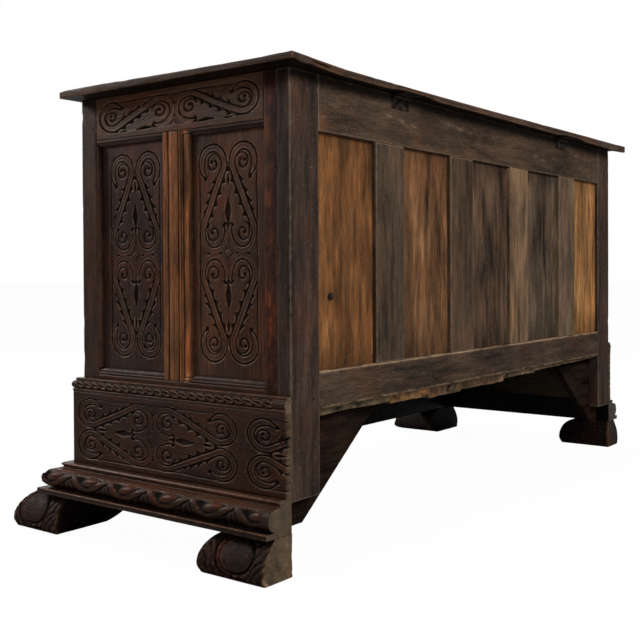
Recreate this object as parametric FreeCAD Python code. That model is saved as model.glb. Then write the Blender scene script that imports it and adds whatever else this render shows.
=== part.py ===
import FreeCAD, Part
import math
import os

# A carved walnut cassone: a frame and panel chest on a moulded plinth with four carved feet.
# All sizes are in millimetres. X runs along the chest, Y from its front to its back, Z up.

# the carcase, measured across the outer faces of its frames
length = 1640.0
depth = 600.0
carcase_top = 960.0

# the four corners
post_wide = 90.0
post_bottom = 140.0
front_post_deep = 50.0
end_stile_wide = 31.0

# the frames between the corners
frame_thick = 32.0
end_frame_thick = 30.0
top_rail_high = 93.0
panel_foot = 350.0
low_rail_high = 100.0
muntin_wide = 54.0
front_panel_count = 5
back_top_rail_high = 111.0
back_rail_bottom = 307.0
back_rail_high = 73.0
back_muntin_wide = 110.0
back_muntin_place_shares = (0.176, 0.394, 0.612, 0.831)

# the joinery
tenon_thick = 10.0
tenon_long = 40.0
end_tenon_long = 24.0
muntin_tenon_long = 30.0
shoulder = 10.0
tenon_end_gap = 1.5
peg_radius = 4.0
peg_long = 26.0
peg_height_shares = (0.3, 0.7)

# the panels in their grooves
groove_deep = 8.0
panel_side_gap = 1.0
panel_thick = 12.0
panel_recess = 11.0
back_panel_recess = 11.0
back_strip_wide = 62.0

# the strips that are mitred round each carved panel
strip_wide = 15.0
strip_set_back = 1.0
strip_low = 4.0
strip_bead_share = 0.4
strip_quirk_share = 0.55
reed_radius = 2.5
reed_place_shares = (-0.24, 0.24)

# the carving, cut as plain sinkings beside its scrolls: rings round the eyes of the volutes, the ground
# beside the leaves and a slot on the middle line. Shares run from the middle of a pair of hearts.
carving_deep = 3.6
front_hearts_half_wide = 94.0
end_hearts_half_wide = 77.0
hearts_half_high = 220.0
plinth_hearts_half_high = 66.0
plinth_hearts_axis = 230.0
plinth_hearts_long = 252.0
end_clasp_back = 60.5
eye_button_radius = 11.0
eye_ring_radius = 15.5
eye_across_share = 0.51
eye_along_shares = (0.184, 0.805)
inner_ground_shares = ((0.53, 0.40), (0.62, 0.36), (0.11, 0.70), (0.0, 0.72), (0.0, 0.585), (0.16, 0.52))
outer_ground_shares = ((0.84, 0.44), (0.97, 0.40), (0.90, 0.52), (0.80, 0.63), (0.66, 0.70), (0.60, 0.68))
slot_shares = ((0.0, 0.285), (0.08, 0.35), (0.06, 0.42), (0.0, 0.46))

# the bottom of the chest
bottom_board_thick = 22.0
bottom_joint_shares = (0.0, 0.105, 0.196, 0.299, 0.396, 0.542, 0.663, 0.776, 0.886, 1.0)
board_gap = 1.0
bearer_deep = 25.0
bearer_high = 24.0
bearer_end_gap = 10.0

# the brackets inside the back corners
bracket_thick = 18.0
bracket_reach = 302.0
bracket_foot = 42.0

# the plinth, with its reaches taken from the carcase face
plinth_board_bottom = 150.0
plinth_board_top = 310.0
plinth_board_thick = 17.0
cap_top = 340.0
cap_lip_reach = 9.0
cap_lip_high = 7.0
cap_band_reach = 19.5
cap_band_root = 12.0
ledge_reach = 36.5
ledge_high = 7.0
torus_top = 138.0
torus_bottom = 95.0
torus_root = 50.0
torus_reach = 68.0
base_lip_reach = 74.0

# the feet
foot_high = 84.0
foot_top_reach = 48.0
foot_belly_reach = 86.0
foot_belly_height = 22.0
foot_floor_reach = 77.0
foot_inset = 4.0
foot_nose = 70.0
foot_nose_height = 18.0
foot_nose_heel = 10.0
foot_swell_share = 0.7
foot_tuck_share = 0.65
foot_curl_share = 0.3
back_foot_long = 178.0
front_foot_long = 165.0
front_foot_wide = 205.0

# the lid
lid_thick = 20.0
lid_over_end = 41.0
lid_over_back = 40.0
lid_over_front = 26.0
lid_edge_round = 6.0
lid_corner_round = 5.0
lid_board_count = 3
cleat_wide = 72.0
lid_tongue_thick = 7.0
lid_tongue_long = 16.0
lid_tongue_gap = 1.0

# the pair of iron hinges
hinge_place = 435.0
hinge_wide = 66.0
knuckle_radius = 5.0
knuckle_count = 3
knuckle_gap = 0.3
leaf_thick = 2.0
leaf_reach = 26.0
pin_radius = 2.5
pin_clearance = 0.05
pin_head_radius = 4.0
pin_head_thick = 2.0
nail_radius = 1.6
nail_head_radius = 3.4
nail_head_high = 1.6
nail_long = 16.0
nail_place_shares = (-0.36, 0.0, 0.36)
nail_down_share = 0.66
hinge_side_gap = 0.3

# how far a cutter passes the face that it opens
overrun = 2.0

# places worked out from the sizes above
half_length = length / 2
half_depth = depth / 2
post_inner = half_length - post_wide
end_inner = half_length - end_frame_thick
front_inner = half_depth - frame_thick
post_back = half_depth - front_post_deep
end_stile_front = front_inner - end_stile_wide
panel_head = carcase_top - top_rail_high
back_panel_foot = back_rail_bottom + back_rail_high
back_panel_head = carcase_top - back_top_rail_high
bottom_boards_low = back_rail_bottom - bottom_board_thick
knuckle_offset = knuckle_radius + hinge_side_gap
hinge_y = half_depth + knuckle_offset
hinge_z = carcase_top - knuckle_offset
front_nose_y = half_depth + front_foot_long
lid_back_y = half_depth + lid_over_back
middle_y = (lid_back_y - front_nose_y) / 2

V = FreeCAD.Vector
UP = V(0, 0, 1)
# a face with u to the right, v up and w out of the wood, turned onto an end or onto the front
END_TURN = FreeCAD.Placement(FreeCAD.Matrix(0, 0, 1, 0, 1, 0, 0, 0, 0, 1, 0, 0, 0, 0, 0, 1)).Rotation
FRONT_TURN = FreeCAD.Placement(FreeCAD.Matrix(1, 0, 0, 0, 0, 0, -1, 0, 0, 1, 0, 0, 0, 0, 0, 1)).Rotation


def block(low, high):
    """A box between two corners, each given as x, y and z."""
    size = [b - a for a, b in zip(low, high)]
    return Part.makeBox(size[0], size[1], size[2], V(*low))


def slab(points, thickness):
    """A flat outline on the XY plane, drawn up to a thickness."""
    wire = Part.makePolygon([V(x, y, 0) for x, y in points + points[:1]])
    return Part.Face(wire).extrude(V(0, 0, thickness))


def mirrored(shape):
    """The same piece at the left-hand end of the chest."""
    return shape.mirror(V(0, 0, 0), V(1, 0, 0))


def both_ends(shape):
    """A piece and its mirror image at the other end."""
    return [shape, mirrored(shape)]


def placed(shape, placement):
    """A copy of a shape, carried by a placement."""
    moved = shape.copy()
    moved.Placement = placement.multiply(moved.Placement)
    return moved


def save(node, shapes):
    """Writes one node, moved so that the origin is the middle of the whole chest."""
    solids = []
    for shape in shapes:
        solids += shape.Solids
    moved = [s.translated(V(0, -middle_y, 0)) for s in solids]
    group = moved[0] if len(moved) == 1 else Part.makeCompound(moved)
    group.exportStep("parts/" + node + ".step")


def tenons(low, high, along, thick, reach):
    """The two tenons of a member, centred in its thickness and set in from its edges."""
    across = 3 - along - thick
    middle = (low[thick] + high[thick]) / 2
    made = []
    for start, end in ((low[along] - reach, low[along]), (high[along], high[along] + reach)):
        a, b = list(low), list(high)
        a[along], b[along] = start, end
        a[thick], b[thick] = middle - tenon_thick / 2, middle + tenon_thick / 2
        a[across], b[across] = low[across] + shoulder, high[across] - shoulder
        made.append(block(a, b))
    return made


class Frame:
    """Posts, rails and muntins that are cut to take each other's tenons and the panels."""

    def __init__(self):
        self.solids = {}
        self.mortises = {}
        self.grooves = []

    def post(self, node, low, high):
        self.solids[node] = [block(low, high)]
        self.mortises[node] = []

    def member(self, node, low, high, along, thick, reach):
        body = block(low, high).fuse(tenons(low, high, along, thick, reach)).removeSplitter()
        self.solids.setdefault(node, []).append(body)
        holes = tenons(low, high, along, thick, reach + tenon_end_gap)
        self.mortises.setdefault(node, []).extend(holes)

    def flute(self, node, flutes):
        """Cuts flutes into the member that was added to a node last."""
        self.solids[node][-1] = self.solids[node][-1].cut(flutes)

    def finished(self, pins):
        """Every member with its mortises, grooves and peg holes cut."""
        made = {}
        for node, bodies in self.solids.items():
            cutters = list(self.grooves) + pins
            for other in self.mortises:
                if other != node:
                    cutters += self.mortises[other]
            made[node] = [body.cut(cutters) for body in bodies]
        return made


def panel(low, high, thick):
    """A panel and the groove that it floats in, from the opening's two corners."""
    board_low, board_high = list(low), list(high)
    slot_low, slot_high = list(low), list(high)
    for axis in range(3):
        if axis != thick:
            board_low[axis] -= groove_deep - panel_side_gap
            board_high[axis] += groove_deep - panel_side_gap
            slot_low[axis] -= groove_deep
            slot_high[axis] += groove_deep
    return block(board_low, board_high), block(slot_low, slot_high)


def run(section, start, end, reach, mitre_start, mitre_end):
    """A moulding drawn along X with its outward side on +Y; a mitre of 1 grows outwards, -1 inwards."""
    spare = reach + overrun
    far = end + spare
    near = start - spare
    bar = section.extrude(V(far - near, 0, 0))
    bar.translate(V(near, 0, 0))
    box = bar.BoundBox
    outline = [(start, 0), (end, 0), (end + mitre_end * spare, spare), (start - mitre_start * spare, spare)]
    keep = slab(outline, box.ZMax - box.ZMin + 2 * overrun)
    keep.translate(V(0, 0, box.ZMin - overrun))
    return bar.common(keep)


def section_face(edges):
    """A face in the YZ plane from a closed list of edges."""
    return Part.Face(Part.Wire(edges))


def outline_edges(points):
    """Edges through points given as (out, up); a triple of points in brackets is an arc."""
    edges = []
    last = None
    for point in points:
        if isinstance(point[0], tuple):
            middle, end = [V(0, p[0], p[1]) for p in point]
            edges.append(Part.Arc(last, middle, end).toShape())
            last = end
            continue
        here = V(0, point[0], point[1])
        if last is not None:
            edges.append(Part.makeLine(last, here))
        last = here
    return edges


def strip_section():
    """The section of a panel strip: a bead beside the frame, a quirk, and a slope to the panel."""
    high = panel_recess - strip_set_back
    bead = strip_wide * strip_bead_share
    quirk = strip_wide * strip_quirk_share
    mid = (high + strip_low) / 2
    points = [(0, 0), (0, high), ((bead / 2, high + strip_set_back / 2), (bead, high)), (quirk, mid)]
    points += [(strip_wide, strip_low), (strip_wide, 0), (0, 0)]
    return section_face(outline_edges(points))


def strips(left, right, foot, head):
    """The four mitred strips of one opening, lying on a face with u to the right and v up."""
    section = strip_section()
    wide, high = right - left, head - foot
    sides = [(left, foot, wide, 0), (right, foot, high, 90)]
    sides += [(right, head, wide, 180), (left, head, high, 270)]
    made = []
    for u, v, long, turn in sides:
        bar = run(section, 0, long, strip_wide, -1, -1)
        bar.rotate(V(0, 0, 0), UP, turn)
        bar.translate(V(u, v, 0))
        made.append(bar)
    return made


def reeds(centre, foot, head):
    """Two round flutes down the face of a muntin, on a face with u to the right and v up."""
    made = []
    for share in reed_place_shares:
        place = V(centre + muntin_wide * share, foot + strip_wide, 0)
        made.append(Part.makeCylinder(reed_radius, head - foot - 2 * strip_wide, place, V(0, 1, 0)))
    return made


def heart_quarter(half_wide, half_long, place, turned_over):
    """The sinkings of a quarter of a pair of hearts; place carries a point across and along onto the face."""
    made = []
    deep = carving_deep + overrun
    for share in eye_along_shares:
        u, v = place(half_wide * eye_across_share, half_long * share)
        centre = V(u, v, -carving_deep)
        button = Part.makeCylinder(eye_button_radius, deep, centre)
        made.append(Part.makeCylinder(eye_ring_radius, deep, centre).cut(button))
    for shares in (inner_ground_shares, outer_ground_shares, slot_shares):
        outline = [place(half_wide * across, half_long * along) for across, along in shares]
        sunk = slab(outline[::-1] if turned_over else outline, deep)
        sunk.translate(V(0, 0, -carving_deep))
        made.append(sunk)
    return made


def upright_hearts(middle, half_wide):
    """The sinkings of the hearts on a panel, about its middle line."""
    centre = (panel_foot + panel_head) / 2
    made = []
    for right in (1, -1):
        for up in (1, -1):
            place = lambda across, along: (middle + right * across, centre + up * along)
            made += heart_quarter(half_wide, hearts_half_high, place, right * up < 0)
    return made


def running_hearts(clasp, first, last):
    """The sinkings of hearts laid along a plinth board, in spaces counted from the one after a clasp."""
    made = []
    for space in range(first, last):
        start = clasp + plinth_hearts_long * (space if space % 2 == 0 else space + 1)
        way = 1 if space % 2 == 0 else -1
        for up in (1, -1):
            place = lambda across, along: (start + way * along, plinth_hearts_axis + up * across)
            made += heart_quarter(plinth_hearts_half_high, plinth_hearts_long, place, way * up > 0)
    return made


def plinth_sections():
    """The sections of the plinth board, the cap above it and the base below it."""
    board = [(0, plinth_board_bottom), (plinth_board_thick, plinth_board_bottom)]
    board += [(plinth_board_thick, plinth_board_top), (0, plinth_board_top), (0, plinth_board_bottom)]
    lip_foot = cap_top - cap_lip_high
    band_mid = (lip_foot + plinth_board_top) / 2
    cap = [(0, plinth_board_top), (plinth_board_thick, plinth_board_top)]
    cap += [((cap_band_reach, band_mid), (cap_band_root, lip_foot)), (cap_lip_reach, lip_foot)]
    cap += [(cap_lip_reach, cap_top), (0, cap_top), (0, plinth_board_top)]
    ledge_foot = plinth_board_bottom - ledge_high
    ledge_root = ledge_reach - ledge_high / 2
    torus_mid = (torus_top + torus_bottom) / 2
    base = [(0, foot_high), (base_lip_reach, foot_high), (base_lip_reach, torus_bottom)]
    base += [(torus_root, torus_bottom), ((torus_reach, torus_mid), (torus_root, torus_top))]
    base += [(ledge_root, torus_top), (ledge_root, ledge_foot)]
    ledge_mid = (plinth_board_bottom + ledge_foot) / 2
    base += [((ledge_reach, ledge_mid), (ledge_root, plinth_board_bottom))]
    base += [(0, plinth_board_bottom), (0, foot_high)]
    reaches = {"board": plinth_board_thick, "cap": cap_band_reach, "base": base_lip_reach}
    return {"board": board, "cap": cap, "base": base}, reaches


def plinth():
    """Three mitred runs of each plinth moulding: the front and the two ends."""
    made = {}
    to_front = FreeCAD.Placement(V(0, -half_depth, 0), FreeCAD.Rotation(UP, 180))
    to_end = FreeCAD.Placement(V(half_length, 0, 0), FreeCAD.Rotation(UP, -90))
    outlines, reaches = plinth_sections()
    for name, points in outlines.items():
        section = section_face(outline_edges(points))
        front = run(section, -half_length, half_length, reaches[name], 1, 1)
        made["plinth_" + name + "_front"] = placed(front, to_front)
        end = placed(run(section, -half_depth, half_depth, reaches[name], 0, 1), to_end)
        made["plinth_" + name + "_right"] = end
        made["plinth_" + name + "_left"] = mirrored(end)
    to_front = FreeCAD.Placement(V(0, -half_depth - plinth_board_thick, 0), FRONT_TURN)
    to_end = FreeCAD.Placement(V(half_length + plinth_board_thick, 0, 0), END_TURN)
    sunk = [placed(c, to_front) for c in running_hearts(0, -3, 3)]
    made["plinth_board_front"] = made["plinth_board_front"].cut(sunk)
    sunk = [placed(c, to_end) for c in running_hearts(-end_clasp_back, -1, 1)]
    end = made["plinth_board_right"].cut(sunk)
    made["plinth_board_right"] = end
    made["plinth_board_left"] = mirrored(end)
    return made


def foot_side(inner, y_low, y_high):
    """The foot's section across its bulging outer face, in the plane of X and height, drawn along Y."""
    belly = (half_length + foot_belly_reach, foot_belly_height)
    top = (half_length + foot_top_reach, foot_high)
    swell_reach = foot_top_reach + (foot_belly_reach - foot_top_reach) * foot_swell_share
    tuck_reach = foot_floor_reach + (foot_belly_reach - foot_floor_reach) * foot_tuck_share
    swell = (half_length + swell_reach, (foot_high + foot_belly_height) / 2)
    tuck = (half_length + tuck_reach, foot_belly_height / 4)
    floor = (half_length + foot_floor_reach, 0)
    points = [(inner, 0), (inner, foot_high), top, (swell, belly), (tuck, floor), (inner, 0)]
    body = section_face(outline_edges(points)).extrude(V(y_high - y_low, 0, 0))
    body.rotate(V(0, 0, 0), UP, -90)
    body.translate(V(0, y_high, 0))
    return body


def nose_section(heel, tip):
    """A long section with a quarter-round nose at the tip, in the plane of run and height."""
    way = 1 if tip > heel else -1
    crown = tip - way * foot_nose
    half = math.radians(45)
    rise = foot_high - foot_nose_height
    bend = (crown + way * foot_nose * math.sin(half), foot_nose_height + rise * math.cos(half))
    floor = tip - way * foot_nose_heel
    curl = (tip - way * foot_nose_heel * foot_curl_share, foot_nose_height * foot_curl_share)
    points = [(heel, 0), (heel, foot_high), (crown, foot_high), (bend, (tip, foot_nose_height))]
    points += [(curl, (floor, 0)), (heel, 0)]
    return section_face(outline_edges(points))


def back_foot():
    """A back foot: bulging outer face, flat back and a nose that points to the front."""
    inner = half_length - foot_inset
    side = foot_side(inner, half_depth - back_foot_long, half_depth)
    nose = nose_section(half_depth, half_depth - back_foot_long)
    nose = nose.extrude(V(foot_belly_reach + foot_inset, 0, 0))
    nose.translate(V(inner, 0, 0))
    return side.common(nose)


def front_foot():
    """A front foot: bulging outer face, a nose to the front and a second nose along the front."""
    outer = half_length + foot_belly_reach
    inner = outer - front_foot_wide
    side = foot_side(inner, -front_nose_y, -half_depth)
    nose = nose_section(-half_depth, -front_nose_y).extrude(V(front_foot_wide, 0, 0))
    nose.translate(V(inner, 0, 0))
    inside = nose_section(outer, inner).extrude(V(front_foot_long, 0, 0))
    inside.rotate(V(0, 0, 0), UP, -90)
    inside.translate(V(0, -half_depth, 0))
    return side.common(nose).common(inside)


def lid_form():
    """The whole lid with its rounded edges, before it is divided into boards."""
    low = (-half_length - lid_over_end, -half_depth - lid_over_front, carcase_top)
    high = (half_length + lid_over_end, half_depth + lid_over_back, carcase_top + lid_thick)
    form = block(low, high)
    upright = [e for e in form.Edges if e.BoundBox.ZLength > lid_thick / 2]
    form = form.makeFillet(lid_corner_round, upright)
    level = [e for e in form.Edges if e.BoundBox.ZLength < lid_thick / 2]
    return form.makeFillet(lid_edge_round, level)


def lid():
    """Boards along the chest and a cleat across each end, joined by a tongue and groove."""
    form = lid_form()
    low_y, high_y = -half_depth - lid_over_front, half_depth + lid_over_back
    board_end = half_length + lid_over_end - cleat_wide
    top, middle = carcase_top + lid_thick, carcase_top + lid_thick / 2
    tongue_low, tongue_high = middle - lid_tongue_thick / 2, middle + lid_tongue_thick / 2
    end = half_length + lid_over_end + overrun
    cleat = form.common(block((board_end, low_y - overrun, carcase_top), (end, high_y + overrun, top)))
    stop_low, stop_high = low_y + lid_tongue_long, high_y - lid_tongue_long
    groove_end = board_end + lid_tongue_long + lid_tongue_gap
    cleat = cleat.cut(block((board_end, stop_low, tongue_low), (groove_end, stop_high, tongue_high)))
    wide = (high_y - low_y) / lid_board_count
    boards = []
    for i in range(lid_board_count):
        a, b = low_y + wide * i, low_y + wide * (i + 1)
        board = form.common(block((-board_end, a, carcase_top), (board_end, b, top)))
        a, b = max(a, stop_low), min(b, stop_high)
        reach = board_end + lid_tongue_long
        tongue = block((-reach, a, tongue_low), (reach, b, tongue_high))
        boards.append(board.fuse(tongue).removeSplitter())
    return boards, both_ends(cleat)


def knuckles(centre_x, case_side):
    """The knuckles of one leaf; the first and every second one belong to the case."""
    pitch = hinge_wide / knuckle_count
    made = []
    for index in range(0 if case_side else 1, knuckle_count, 2):
        place = V(centre_x - hinge_wide / 2 + pitch * index + knuckle_gap / 2, hinge_y, hinge_z)
        made.append(Part.makeCylinder(knuckle_radius, pitch - knuckle_gap, place, V(1, 0, 0)))
    return made


def leaf(centre_x, case_side):
    """One hinge leaf: its plate, its own knuckles, and room for the knuckles of the other leaf."""
    low_x, high_x = centre_x - hinge_wide / 2, centre_x + hinge_wide / 2
    if case_side:
        plate = block((low_x, half_depth, hinge_z - leaf_reach), (high_x, half_depth + leaf_thick, hinge_z))
    else:
        plate = block((low_x, hinge_y, carcase_top - leaf_thick), (high_x, hinge_y + leaf_reach, carcase_top))
    room = []
    for ring in knuckles(centre_x, not case_side):
        box = ring.BoundBox
        low = (box.XMin - knuckle_gap, box.YMin - overrun, box.ZMin - knuckle_gap)
        high = (box.XMax + knuckle_gap, box.YMax + knuckle_gap, box.ZMax + overrun)
        room.append(block(low, high))
    bore_start = V(low_x - overrun, hinge_y, hinge_z)
    bore = Part.makeCylinder(pin_radius + pin_clearance, hinge_wide + 2 * overrun, bore_start, V(1, 0, 0))
    plate = plate.fuse(knuckles(centre_x, case_side)).removeSplitter().cut(room)
    return plate.cut([bore] + nails(centre_x, case_side))


def nails(centre_x, case_side):
    """The clenched iron nails of one leaf, with heads let in flush."""
    made = []
    down = knuckle_radius + (leaf_reach - knuckle_radius) * nail_down_share
    for share in nail_place_shares:
        x = centre_x + hinge_wide * share
        if case_side:
            top, way = V(x, half_depth + leaf_thick, hinge_z - down), V(0, -1, 0)
        else:
            top, way = V(x, hinge_y + down, carcase_top - leaf_thick), V(0, 0, 1)
        head = Part.makeCone(nail_head_radius, nail_radius, nail_head_high, top, way)
        made.append(head.fuse(Part.makeCylinder(nail_radius, nail_long, top, way)).removeSplitter())
    return made


def hinge_pin(centre_x):
    """A pin with a flat round head at its right-hand end."""
    start = V(centre_x - hinge_wide / 2, hinge_y, hinge_z)
    shaft = Part.makeCylinder(pin_radius, hinge_wide, start, V(1, 0, 0))
    head_start = V(centre_x + hinge_wide / 2, hinge_y, hinge_z)
    head = Part.makeCylinder(pin_head_radius, pin_head_thick, head_start, V(1, 0, 0))
    return shaft.fuse(head).removeSplitter()


def peg(place, way):
    """A round wooden peg driven through a joint and cut off flush."""
    return Part.makeCylinder(peg_radius, peg_long, place, way)


def pegs():
    """Two pegs through each end of the top rails and of the low back rail."""
    made = []
    end_peg_front = -post_back - end_tenon_long / 2
    end_peg_back = end_stile_front + end_tenon_long / 2
    side_peg = post_inner + tenon_long / 2
    for share in peg_height_shares:
        z = panel_head + top_rail_high * share
        for y in (end_peg_front, end_peg_back):
            made += both_ends(peg(V(half_length, y, z), V(-1, 0, 0)))
        made += both_ends(peg(V(side_peg, -half_depth, z), V(0, 1, 0)))
        z = back_panel_head + back_top_rail_high * share
        made += both_ends(peg(V(side_peg, half_depth, z), V(0, -1, 0)))
        z = back_rail_bottom + back_rail_high * share
        made += both_ends(peg(V(side_peg, half_depth, z), V(0, -1, 0)))
    return made


def divisions(low, high, wide, count):
    """The openings between evenly spaced muntins, as pairs of edges."""
    clear = (high - low - wide * (count - 1)) / count
    return [(low + (clear + wide) * i, low + (clear + wide) * i + clear) for i in range(count)]


def back_divisions():
    """The openings of the back, from the right-hand end, where the muntins are set by eye."""
    edges = [post_inner]
    for share in back_muntin_place_shares:
        centre = post_inner - 2 * post_inner * share
        edges += [centre + back_muntin_wide / 2, centre - back_muntin_wide / 2]
    edges.append(-post_inner)
    return list(zip(edges[1::2], edges[0::2]))


def make_front(frame, nodes):
    """The carved front: two rails, the muntins, the panels and their strips."""
    face, back = -half_depth, -front_inner
    low, high = (-post_inner, face, panel_head), (post_inner, back, carcase_top)
    frame.member("front_top_rail", low, high, 0, 1, tenon_long)
    low, high = (-post_inner, face, panel_foot - low_rail_high), (post_inner, back, panel_foot)
    frame.member("front_low_rail", low, high, 0, 1, tenon_long)
    to_face = FreeCAD.Placement(V(0, face, 0), FRONT_TURN)
    bays = divisions(-post_inner, post_inner, muntin_wide, front_panel_count)
    for left, right in zip(bays[:-1], bays[1:]):
        low, high = (left[1], face, panel_foot), (right[0], back, panel_head)
        frame.member("front_muntins", low, high, 2, 1, muntin_tenon_long)
        flutes = [placed(f, to_face) for f in reeds((left[1] + right[0]) / 2, panel_foot, panel_head)]
        frame.flute("front_muntins", flutes)
    inset = face + panel_recess
    to_panel = FreeCAD.Placement(V(0, inset, 0), FRONT_TURN)
    nodes["front_panel_strips"] = []
    for number, (left, right) in enumerate(bays, 1):
        low, high = (left, inset, panel_foot), (right, inset + panel_thick, panel_head)
        board, slot = panel(low, high, 1)
        frame.grooves.append(slot)
        sunk = [placed(c, to_panel) for c in upright_hearts((left + right) / 2, front_hearts_half_wide)]
        nodes["front_panel_%d" % number] = [board.cut(sunk)]
        made = strips(left, right, panel_foot, panel_head)
        nodes["front_panel_strips"] += [placed(s, to_panel) for s in made]


def make_end(frame, nodes):
    """The carved right-hand end and its mirror image on the left."""
    outer, inner = half_length, end_inner
    front, back = -post_back, end_stile_front
    inset = outer - panel_recess
    low_z = panel_foot - low_rail_high
    bays = [(front, -muntin_wide / 2), (muntin_wide / 2, back)]
    to_face = FreeCAD.Placement(V(outer, 0, 0), END_TURN)
    to_panel = FreeCAD.Placement(V(inset, 0, 0), END_TURN)
    flutes = [placed(f, to_face) for f in reeds(0, panel_foot, panel_head)]
    made_strips = []
    hearts = []
    for left, right in bays:
        made_strips += [placed(s, to_panel) for s in strips(left, right, panel_foot, panel_head)]
        middle = (left + right) / 2
        hearts.append([placed(c, to_panel) for c in upright_hearts(middle, end_hearts_half_wide)])
    for side, sign in (("right", 1), ("left", -1)):
        xs = sorted((sign * inner, sign * outer))
        top, low = "end_top_rail_" + side, "end_low_rail_" + side
        frame.member(top, (xs[0], front, panel_head), (xs[1], back, carcase_top), 1, 0, end_tenon_long)
        frame.member(low, (xs[0], front, low_z), (xs[1], back, panel_foot), 1, 0, end_tenon_long)
        muntin = "end_muntin_" + side
        low, high = (xs[0], bays[0][1], panel_foot), (xs[1], bays[1][0], panel_head)
        frame.member(muntin, low, high, 2, 0, muntin_tenon_long)
        frame.flute(muntin, flutes if sign > 0 else [mirrored(f) for f in flutes])
        ps = sorted((sign * (inset - panel_thick), sign * inset))
        for place, (left, right), sunk in zip(("front", "back"), bays, hearts):
            board, slot = panel((ps[0], left, panel_foot), (ps[1], right, panel_head), 0)
            frame.grooves.append(slot)
            cutters = sunk if sign > 0 else [mirrored(c) for c in sunk]
            nodes["end_panel_" + side + "_" + place] = [board.cut(cutters)]
        nodes["end_panel_strips_" + side] = made_strips if sign > 0 else [mirrored(s) for s in made_strips]


def make_back(frame, nodes):
    """The plain back: wide rails and muntins flush with each other, with boards in the grooves."""
    face, inner = half_depth, front_inner
    low, high = (-post_inner, inner, back_panel_head), (post_inner, face, carcase_top)
    frame.member("back_top_rail", low, high, 0, 1, tenon_long)
    low, high = (-post_inner, inner, back_rail_bottom), (post_inner, face, back_panel_foot)
    frame.member("back_low_rail", low, high, 0, 1, tenon_long)
    bays = back_divisions()
    for first, second in zip(bays[:-1], bays[1:]):
        low, high = (second[1], inner, back_panel_foot), (first[0], face, back_panel_head)
        frame.member("back_muntins", low, high, 2, 1, muntin_tenon_long)
    outer = face - back_panel_recess
    for number, (left, right) in enumerate(bays, 1):
        low, high = (left, outer - panel_thick, back_panel_foot), (right, outer, back_panel_head)
        board, slot = panel(low, high, 1)
        frame.grooves.append(slot)
        nodes["back_panel_%d" % number] = [board]
    last = nodes["back_panel_%d" % len(bays)][0]
    box = last.BoundBox
    seam = -post_inner + back_strip_wide
    strip = block((box.XMin, box.YMin, box.ZMin), (seam, box.YMax, box.ZMax))
    nodes["back_panel_%d" % len(bays)] = [last.cut(strip), strip]


def make_posts(frame):
    """The two front posts, the two back stiles and the narrow back stiles of the ends."""
    for side, sign in (("right", 1), ("left", -1)):
        xs = sorted((sign * post_inner, sign * half_length))
        ends = sorted((sign * end_inner, sign * half_length))
        frame.post("front_post_" + side, (xs[0], -half_depth, post_bottom), (xs[1], -post_back, carcase_top))
        frame.post("back_stile_" + side, (xs[0], front_inner, post_bottom), (xs[1], half_depth, carcase_top))
        low, high = (ends[0], end_stile_front, post_bottom), (ends[1], front_inner, carcase_top)
        frame.post("end_stile_" + side, low, high)


def bottom():
    """Boards that run from front to back, the bearer under their front ends, and the corner brackets."""
    span = 2 * (end_inner - board_gap)
    start = end_inner - board_gap
    edges = [start - span * share for share in bottom_joint_shares]
    top = bottom_boards_low + bottom_board_thick
    boards = []
    near, far = post_inner - board_gap, end_inner + overrun
    back_notch = block((near, front_inner - board_gap, 0), (far, half_depth + overrun, carcase_top))
    front_notch = block((near, -half_depth, 0), (far, -post_back + board_gap, carcase_top))
    notches = both_ends(back_notch) + both_ends(front_notch)
    for right, left in zip(edges[:-1], edges[1:]):
        low, high = (left + board_gap, -front_inner, bottom_boards_low), (right, half_depth, top)
        boards.append(block(low, high).cut(notches))
    end = post_inner - bearer_end_gap
    low = (-end, -front_inner, bottom_boards_low - bearer_high)
    bearer = block(low, (end, -front_inner + bearer_deep, bottom_boards_low))
    outline = [(end_inner - bracket_reach, bottom_boards_low), (end_inner, bottom_boards_low)]
    outline += [(end_inner, foot_high), (end_inner - bracket_foot, foot_high)]
    bracket = slab(outline, bracket_thick)
    bracket.rotate(V(0, 0, 0), V(1, 0, 0), 90)
    bracket.translate(V(0, front_inner, 0))
    return boards, bearer, both_ends(bracket)


def main():
    os.makedirs("parts", exist_ok=True)
    frame = Frame()
    nodes = {}
    make_posts(frame)
    make_front(frame, nodes)
    make_end(frame, nodes)
    make_back(frame, nodes)
    nodes["frame_pegs"] = pegs()
    case_nails = nails(hinge_place, True) + nails(-hinge_place, True)
    lid_nails = nails(hinge_place, False) + nails(-hinge_place, False)
    nodes.update(frame.finished(nodes["frame_pegs"] + case_nails))
    boards, bearer, brackets = bottom()
    nodes["bottom_boards"] = boards
    nodes["bottom_bearer"] = [bearer]
    nodes["corner_brackets"] = brackets
    for node, shape in plinth().items():
        nodes[node] = [shape]
    nodes["foot_back_right"], nodes["foot_back_left"] = [[s] for s in both_ends(back_foot())]
    nodes["foot_front_right"], nodes["foot_front_left"] = [[s] for s in both_ends(front_foot())]
    lid_boards, cleats = lid()
    nodes["lid_boards"] = [b.cut(lid_nails) for b in lid_boards]
    nodes["lid_cleats"] = cleats
    nodes["hinge_leaves_case"] = [leaf(x, True) for x in (hinge_place, -hinge_place)]
    nodes["hinge_leaves_lid"] = [leaf(x, False) for x in (hinge_place, -hinge_place)]
    nodes["hinge_pins"] = [hinge_pin(x) for x in (hinge_place, -hinge_place)]
    nodes["hinge_nails_case"] = case_nails
    nodes["hinge_nails_lid"] = lid_nails
    for node, shapes in nodes.items():
        save(node, shapes)
    print(len(nodes), "nodes, hinge axis at y", hinge_y - middle_y, "z", hinge_z)


main()
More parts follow.
